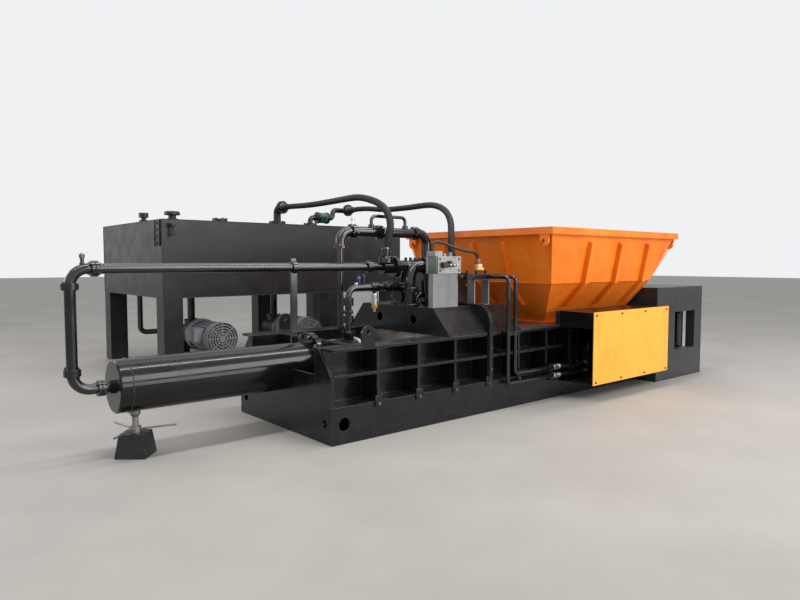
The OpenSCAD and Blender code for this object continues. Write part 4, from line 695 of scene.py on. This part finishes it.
beads = bmesh.new()
for x in RIB_X:
    for side in SIDES:
        for edge in (0.0, RIB_THICK):
            if x + edge > 0.0:
                add_bead(beads, (x + edge, side * RIB_ROOT, SILL_SEAM),
                         (x + edge, side * RIB_TIP, SILL_SEAM))
        add_bead(beads, (x + BESIDE_RIB, side * WALL_SEAM, 0.31),
                 (x + BESIDE_RIB, side * WALL_SEAM, 0.52), 0.004)
for side in SIDES:
    for start_x, stop_x, y, z, radius, step in LONG_SEAMS:
        add_bead(beads, (start_x, side * y, z), (stop_x, side * y, z), radius, step)
add_bead(beads, (2.291, -0.53, 0.781), (2.291, 0.53, 0.781), 0.005, 0.012)
for x in (-1.303, 0.30):
    add_ring_bead(beads, (x, 0.0, 0.537), (1, 0, 0), 0.2005)
add_ring_bead(beads, (1.358, 0.0, 1.016), (0, 0, 1), 0.101)
piece("weld_beads", beads, "body_paint")

# %% [markdown]
# The hopper has two slopes a side. Its sheets meet in corners, and each corner has a bead from
# the base flange to the rim. It could be one curve with a bend, but two straight beads that
# meet where the slopes change are simpler, and a weld stops and starts there too.

# %% Beads of the hopper
KNEE_Z = 1.23

hopper_beads = bmesh.new()
for side in SIDES:
    for base_x, knee_x, rim_x in ((2.980, 2.530, 2.400), (4.440, 4.440, 4.850)):
        path = [(base_x, side * 0.543, 0.80), (knee_x, side * 0.960, KNEE_Z),
                (rim_x, side * 1.060, 1.712)]
        for a, b in zip(path, path[1:]):
            add_bead(hopper_beads, a, b, 0.006, 0.012)
    add_bead(hopper_beads, (2.53, side * 0.961, KNEE_Z), (4.44, side * 0.961, KNEE_Z),
             0.005, 0.014)
add_bead(hopper_beads, (2.529, -0.96, KNEE_Z), (2.529, 0.96, KNEE_Z), 0.005, 0.014)
piece("hopper_beads", hopper_beads, "hopper_paint")

# %% [markdown]
# Each rib foot has a small bolted lug on the face of the sill. The bolts could be scattered
# with instances, but there are few, and one mesh of real hexagons exports as it is.

# %% Lugs on the sill
LUG_BACK, LUG_FACE, WASHER_FACE = 0.7785, 0.7925, 0.7950
LUG_BOLT_Z = 0.278
WASHER_OUTLINE = [(0.0, 0.0), (0.016, 0.0), (0.016, 0.003), (0.0, 0.003)]

lugs = bmesh.new()
bolts = bmesh.new()
for x in RIB_X[1:]:
    middle = x + RIB_THICK / 2
    for side in SIDES:
        low, high = sorted((side * LUG_BACK, side * LUG_FACE))
        add_block(lugs, (x - 0.026, low, 0.252), (x + 0.048, high, 0.348), 0.004)
        add_turned(bolts, WASHER_OUTLINE, (middle, side * LUG_FACE, LUG_BOLT_Z),
                   (0, side, 0), 24)
        add_hexagon(bolts, (middle, side * WASHER_FACE, LUG_BOLT_Z), (0, side, 0), 0.022, 0.011)
piece("rib_lugs", lugs, "body_paint")

# %% [markdown]
# More bolts hold the side straps, the strap over the hood and the plates of the manifold.
# They go into the same mesh as the bolts of the lugs, because all wear the same dark steel.

# %% Bolts
STRAP_FACE = 0.7995
HOOD_STRAP_X, HOOD_STRAP_TOP = 1.8245, 1.0365
MANIFOLD_FRONT, MANIFOLD_TOP = -0.1495, 1.3295

for x in (3.12, 3.22):
    for side in SIDES:
        for z in (0.36, 0.70):
            add_hexagon(bolts, (x, side * STRAP_FACE, z), (0, side, 0), 0.024, 0.012)
for side in SIDES:
    for z in (0.42, 0.62):
        add_hexagon(bolts, (HOOD_STRAP_X, side * STRAP_FACE, z), (0, side, 0), 0.020, 0.010)
    add_hexagon(bolts, (HOOD_STRAP_X, side * 0.50, HOOD_STRAP_TOP), (0, 0, 1), 0.020, 0.010)
for k in range(9):
    place = (1.60 + 0.068 * k, MANIFOLD_FRONT, 1.20 + 0.08 * (k % 2))
    add_hexagon(bolts, place, (0, -1, 0), 0.026, 0.014)
for k in range(6):
    add_hexagon(bolts, (1.585 + 0.1 * k, -0.10, MANIFOLD_TOP), (0, 0, 1), 0.026, 0.014)
piece("small_bolts", bolts, "fastener_steel", round_angle=20.0)

# %% [markdown]
# A pressure hose ends in a crimped sleeve with grooves, and the sleeve ends in a hexagon that
# turns on the fitting. A plain cuff would look like a garden hose, so the sleeve is turned
# with its five grooves. The large hoses have theirs under black paint.

# %% Ends of the large hoses
def crimped_end(mesh, place, direction, radius, length):
    """Sleeve with five grooves, seen from the hexagon towards the free hose."""
    outline = [(0.0, 0.0), (radius * 1.28, 0.0), (radius * 1.30, length * 0.04)]
    for i in range(5):
        z = length * (0.14 + 0.15 * i)
        outline += [(radius * 1.30, z), (radius * 1.19, z + length * 0.02),
                    (radius * 1.19, z + length * 0.06), (radius * 1.30, z + length * 0.08)]
    outline += [(radius * 1.28, length * 0.94), (radius * 1.12, length), (0.0, length)]
    add_turned(mesh, outline, place, direction, 40)
    add_hexagon(mesh, place, direction, radius * 3.1, length * 0.2)


LARGE_ENDS = (((1.690, 2.878, 2.190), (0, -1, 0)), ((2.790, 2.878, 2.205), (0, -1, 0)),
              ((1.170, 0.0, 1.481), (0.02, -0.02, 1)), ((2.104, 0.0, 1.391), (0, 0, 1)))

big_ends = bmesh.new()
for place, direction in LARGE_ENDS:
    crimped_end(big_ends, place, direction, 0.037, 0.105)
piece("large_hose_ends", big_ends, "pipe_paint")

# %% [markdown]
# The short hoses have bright sleeves where they leave the steel tubes, with a bright union
# beside each. Their other ends, behind the guard, are the same sleeves in black pipe paint,
# which is painted shade for the shadow of the guard.

# %% Ends of the short hoses
GATE_HOSE_Z = (0.345, 0.255)
UNION_OUTLINE = [(0.0, 0.0), (0.0290, 0.0), (0.0300, 0.003), (0.0300, 0.042), (0.0285, 0.046),
                 (0.0, 0.046)]

small_ends = bmesh.new()
shaded_hose_ends = bmesh.new()
for z in GATE_HOSE_Z:
    crimped_end(small_ends, (2.801, -0.832, z), (1, 0, 0), 0.0205, 0.062)
    crimped_end(shaded_hose_ends, (3.299, -0.856, z), (-1, 0, 0), 0.0205, 0.062)
    add_turned(small_ends, UNION_OUTLINE, (2.742, -0.832, z), (1, 0, 0))
piece("small_hose_ends", small_ends, "bright_zinc")
# The black paint on the hose ends behind the guard is painted shade.
piece("guard_hose_ends_shaded", shaded_hose_ends, "pipe_paint")

# %% [markdown]
# The rod side line over the hood carries painted nuts and a plugged tap. Threads could be cut
# too, but they are hidden under paint, so each is a hexagon or a turned outline on the pipe.

# %% Nuts on the rod side line
ROD_LINE_Y = -0.04

nuts = bmesh.new()
add_hexagon(nuts, (1.117, ROD_LINE_Y, 1.205), (1, 0, 0), 0.092, 0.036)
add_hexagon(nuts, (1.225, ROD_LINE_Y, 1.205), (1, 0, 0), 0.092, 0.030)
add_hexagon(nuts, (0.690, ROD_LINE_Y, 0.965), (0, 0, 1), 0.090, 0.032)
add_turned(nuts, [(0.0, 0.0), (0.012, 0.0), (0.012, 0.03), (0.019, 0.032), (0.019, 0.058),
                  (0.010, 0.066), (0.0, 0.066)], (0.868, ROD_LINE_Y, 1.262), (0, 0, 1), 24)
piece("line_nuts", nuts, "pipe_paint", round_angle=20.0)

# %% [markdown]
# Bright fittings catch the eye between the black pipes: the foot of a tap and its blue grip,
# the ring round the pressure switch over its brass hexagon, and a bleed screw on the upper
# line. Each could be an object, but one mesh for each material keeps the scene easy to read.

# %% Bright fittings
zinc = bmesh.new()
add_hexagon(zinc, (0.780, ROD_LINE_Y, 1.234), (0, 0, 1), 0.030, 0.018)
add_turned(zinc, [(0.0, 0.0), (0.0315, 0.0), (0.0325, 0.004), (0.0325, 0.040), (0.031, 0.044),
                  (0.0, 0.044)], (0.999, ROD_LINE_Y, 1.099), (0, 0, 1))
add_turned(zinc, [(0.0, 0.0), (0.014, 0.0), (0.014, 0.05), (0.022, 0.054), (0.022, 0.085),
                  (0.0, 0.09)], (0.865, 0.130, 1.7940), (0, 0, 1), 24)
piece("bright_fittings", zinc, "bright_zinc", round_angle=20.0)

brass = bmesh.new()
add_hexagon(brass, (0.999, ROD_LINE_Y, 1.0005), (0, 0, 1), 0.0535, 0.044)
piece("brass_fittings", brass, "brass", round_angle=20.0)

grip = bmesh.new()
add_turned(grip, [(0.0, 0.0), (0.010, 0.0), (0.017, 0.004), (0.018, 0.020), (0.013, 0.030),
                  (0.0, 0.033)], (0.812, ROD_LINE_Y, 1.279), (0, 0, 1), 24)
piece("tap_grip", grip, "tap_blue")

# %% [markdown]
# In front of the manifold a thick glossy elbow turns down to the hood. A sweep along a curve
# keeps its bend round. Flanges with six bolts clamp each straight end, a sawn block joins it
# to the manifold, and a short plugged boss stands beside it.

# %% Front elbow of the manifold
ELBOW_Y = -0.212
ELBOW_ROUTE = [(x, ELBOW_Y, z) for x, z in (
    (1.566, 1.412), (1.500, 1.412), (1.420, 1.406), (1.362, 1.384), (1.325, 1.338),
    (1.310, 1.280), (1.308, 1.200), (1.308, 1.030))]
ELBOW_FLANGES = (((1.308, ELBOW_Y, 1.016), (0, 0, 1), 0.082),
                 ((1.308, ELBOW_Y, 1.150), (0, 0, 1), 0.078),
                 ((1.308, ELBOW_Y, 1.176), (0, 0, 1), 0.078),
                 ((1.470, ELBOW_Y, 1.412), (1, 0, 0), 0.078),
                 ((1.496, ELBOW_Y, 1.412), (1, 0, 0), 0.078))


def add_bolted_flange(mesh, place, direction, radius, thick=0.022, bolt_count=6):
    """Flange with chamfered rims and a ring of hexagons on one face."""
    add_turned(mesh, [(0.0, 0.0), (radius - 0.002, 0.0), (radius, 0.002),
                      (radius, thick - 0.002), (radius - 0.002, thick), (0.0, thick)],
               place, direction, 40)
    bolt_ring = radius - 0.014
    for k in range(bolt_count):
        a = math.tau * (k + 0.5) / bolt_count
        spot = frame_along(place, direction) @ Vector((bolt_ring * math.cos(a),
                                                       bolt_ring * math.sin(a), thick))
        add_hexagon(mesh, spot, direction, 0.019, 0.010)


curve_piece("manifold_elbow", ELBOW_ROUTE, 0.050, "pipe_paint")
flanges = bmesh.new()
for place, direction, radius in ELBOW_FLANGES:
    add_bolted_flange(flanges, place, direction, radius)
add_block(flanges, (1.560, -0.268, 1.345), (1.690, -0.150, 1.475), 0.006)
add_turned(flanges, [(0.0, 0.0), (0.040, 0.0), (0.040, 0.130), (0.030, 0.138), (0.0, 0.138)],
           (1.510, -0.205, 1.140), (0, 0, 1))
piece("elbow_flanges", flanges, "pipe_paint")

# %% [markdown]
# A black cable arches from the top of the valve block to a plug on the tube manifold. It is
# short and held at both ends, so it needs no simulation, and one smooth curve is enough. The
# plug is three moulded blocks, one on the other, and the valve block has a painted cover.

# %% Cable, plug and cover
CABLE_ROUTE = [(1.378, -0.445, 1.540), (1.374, -0.446, 1.590), (1.402, -0.452, 1.630),
               (1.470, -0.475, 1.628), (1.560, -0.500, 1.600), (1.650, -0.525, 1.572),
               (1.745, -0.545, 1.552), (1.835, -0.555, 1.540), (1.878, -0.556, 1.512),
               (1.888, -0.555, 1.470)]
curve_piece("valve_cable", CABLE_ROUTE, 0.0145, "cable_black")

for name, finish, low, high in (
        ("block_cover", "switch_cover", (1.3395, -0.5415, 1.3415), (1.3575, -0.4305, 1.4935)),
        ("plug_red", "plug_red", (1.868, -0.580, 1.425), (1.908, -0.530, 1.475)),
        ("plug_cream", "plug_cream", (1.872, -0.577, 1.391), (1.934, -0.533, 1.4255)),
        ("plug_yellow", "plug_yellow", (1.874, -0.575, 1.365), (1.960, -0.535, 1.3915))):
    made = bmesh.new()
    add_block(made, low, high, 0.006)
    piece(name, made, finish)

# %% [markdown]
# The solenoid shows three small lamp lenses on its front. Each is a shallow dome, turned like
# the rest, and the smooth plastic gives it its glint.

# %% Lamp lenses
LENS_OUTLINE = [(0.0, 0.0), (0.011, 0.0), (0.0115, 0.004), (0.0095, 0.009), (0.005, 0.012),
                (0.0, 0.013)]
for name, finish, x, y in (("lens_blue", "lens_blue", 1.490, -0.5825),
                           ("lens_white", "plug_cream", 1.536, -0.5825),
                           ("lens_pink", "lens_pink", 1.582, -0.5765)):
    made = bmesh.new()
    add_turned(made, LENS_OUTLINE, (x, y, 1.4175), (0, -1, 0), 24)
    piece(name, made, finish)

# %% [markdown]
# The oil tank has fittings of its own: a channel bracket with bolts beside its corner, a tap
# high on its front with the spout turned down, and beads along the seams where its plates
# meet. They share one mesh, because they are all under the tank's paint.

# %% Tank fittings
TANK_X = (0.0202, 3.7598)
TANK_Y = (2.8502, 5.2498)
SEAM_Z = (1.004, 1.961)

tank = bmesh.new()
for y in (2.905, 3.065):
    add_block(tank, (0.004, y, 1.64), (0.0205, y + 0.022, 1.955), 0.003)
add_block(tank, (0.0125, 2.925, 1.64), (0.0205, 3.067, 1.955), 0.003)
for z in (1.68, 1.76, 1.84, 1.92):
    add_hexagon(tank, (0.0130, 2.996, z), (-1, 0, 0), 0.028, 0.012)
add_turned(tank, [(0.0, 0.0), (0.034, 0.0), (0.034, 0.012), (0.020, 0.014), (0.020, 0.075),
                  (0.030, 0.078), (0.030, 0.100), (0.0, 0.104)], (0.128, 2.8505, 1.90), (0, -1, 0))
add_turned(tank, [(0.0, 0.0), (0.014, 0.0), (0.014, 0.110), (0.024, 0.112), (0.024, 0.138),
                  (0.0, 0.142)], (0.128, 2.786, 1.905), (0, 0, -1))
for y in TANK_Y:
    for z in SEAM_Z:
        add_bead(tank, (0.03, y, z), (3.75, y, z), 0.004, 0.012)
for x in TANK_X:
    for z in SEAM_Z:
        add_bead(tank, (x, 2.86, z), (x, 5.24, z), 0.004, 0.012)
    for y in (2.852, 5.248):
        add_bead(tank, (x, y, 1.01), (x, y, 1.955), 0.004, 0.012)
piece("tank_fittings", tank, "tank_paint")

# %% [markdown]
# Each CAD node names a material slot in the record. Materials could be set node by node, but
# giving every slot its finish dresses the whole machine at once. A few nodes then get a finish
# of their own: the barrel and its cap are glossier than the body, the deck is worn, dusty and
# browner, the brown partly a painted reflection of the orange hopper, and the handle of the
# tank valve is black. The hoses take the rubber of the solids they replace.

# %% Dress every piece
SLOT_OF = {part["node"]: part["material_slot"] for part in frame["record"]["subparts"]}
OWN_FINISH = {"cylinder_barrel": "barrel_paint", "cylinder_cap": "barrel_paint",
              "deck_plate": "deck_paint_and_reflection", "tank_valve_lever": "pipe_paint"}


def wear_finish(made, finish):
    made.data.materials.clear()
    made.data.materials.append(FINISHES[finish])


for node_name, node_object in frame["nodes"].items():
    wear_finish(node_object, OWN_FINISH.get(node_name, SLOT_OF[node_name]))
for hose in hoses.values():
    wear_finish(hose, "hose_rubber")
for made, finish in DRESS:
    wear_finish(made, finish)
print("dressed", len(frame["nodes"]), "nodes and", len(DRESS), "pieces")

# %% [markdown]
# The stage is a wide pale floor, so that the machine stands on something and its shadow shows.
# A backdrop would need a seam, and here the plain world closes the view. The floor's slow
# patches keep it from looking like paper.

# %% Floor
FLOOR_HALF = 60.0


def floor_finish():
    f = Finish("stage_floor")
    patch = f.span(f.noise(0.7, 6.0, 0.6), 0.35, 0.68)
    color = f.blend(patch, rgb(0.345, 0.325, 0.300), rgb(0.405, 0.385, 0.355))
    return f.finish(color, 0.62, f.bump(f.noise(30.0, 4.0), 0.1, 0.001))


floor_mesh = bpy.data.meshes.new("stage_floor")
floor_mesh.from_pydata([(x * FLOOR_HALF, y * FLOOR_HALF, 0.0)
                        for x, y in ((-1, -1), (1, -1), (1, 1), (-1, 1))], [], [(0, 1, 2, 3)])
stage_floor = bpy.data.objects.new("stage_floor", floor_mesh)
bpy.context.collection.objects.link(stage_floor)
stage_floor.data.materials.append(floor_finish())
print("floor", 2 * FLOOR_HALF, "m wide")

# %% [markdown]
# Black paint is hard to light: it shows only what it reflects. Large area lamps give soft
# light, and a long narrow one overhead draws the bright line along the barrel and the pipes.
# The main lamp stands high at the front right, a low one fills the front of the hopper, and
# weaker ones keep the tank and the left end from going dark.

# %% Lamps
LAMPS = {
    # name: (place, target, size, watts)
    "key_lamp": ((4.5, -8.0, 6.5), (2.0, 0.0, 0.8), (7.0, 4.0), 570.0),
    "low_lamp": ((5.5, -11.0, 2.4), (3.4, 0.0, 1.0), (9.0, 3.0), 330.0),
    "roof_lamp": ((1.5, 2.0, 9.0), (1.5, 0.5, 0.0), (10.0, 6.0), 150.0),
    "strip_lamp": ((0.2, -0.9, 6.2), (0.2, 0.0, 0.5), (10.0, 0.45), 250.0),
    "left_lamp": ((-5.0, 6.5, 3.6), (0.0, 4.2, 1.4), (4.0, 3.0), 110.0),
}


def soft_lamp(name, place, target, size, watts):
    lamp = bpy.data.lights.new(name, "AREA")
    lamp.shape = "RECTANGLE"
    lamp.size, lamp.size_y = size
    lamp.energy = watts
    holder = bpy.data.objects.new(name, lamp)
    holder.location = place
    holder.rotation_euler = (Vector(target) - Vector(place)).to_track_quat("-Z", "Y").to_euler()
    bpy.context.collection.objects.link(holder)


for lamp_name, settings in LAMPS.items():
    soft_lamp(lamp_name, *settings)
print("lamps", list(LAMPS))

# %% [markdown]
# The world is nearly white where the camera, a reflection or glass sees it, and weaker as a
# lamp, so the background is pale and the object isn't flooded with light. A Light Path node
# tells the rays apart.

# %% World
SEEN_STRENGTH = 0.9
LAMP_STRENGTH = 0.55

surround = bpy.data.worlds.new("surround")
surround.use_nodes = True
bpy.context.scene.world = surround
links = surround.node_tree.links
sky = surround.node_tree.nodes
ray = sky.new("ShaderNodeLightPath")
seen = ray.outputs["Is Camera Ray"]
for kind in ("Is Glossy Ray", "Is Transmission Ray"):
    either = sky.new("ShaderNodeMath")
    either.operation = "MAXIMUM"
    links.new(seen, either.inputs[0])
    links.new(ray.outputs[kind], either.inputs[1])
    seen = either.outputs[0]
strength = sky.new("ShaderNodeMapRange")
links.new(seen, strength.inputs[0])
strength.inputs[3].default_value = LAMP_STRENGTH
strength.inputs[4].default_value = SEEN_STRENGTH
links.new(strength.outputs[0], sky["Background"].inputs["Strength"])
sky["Background"].inputs["Color"].default_value = (0.97, 0.98, 1.0, 1.0)
print("world strength", SEEN_STRENGTH, "seen and", LAMP_STRENGTH, "as a lamp")
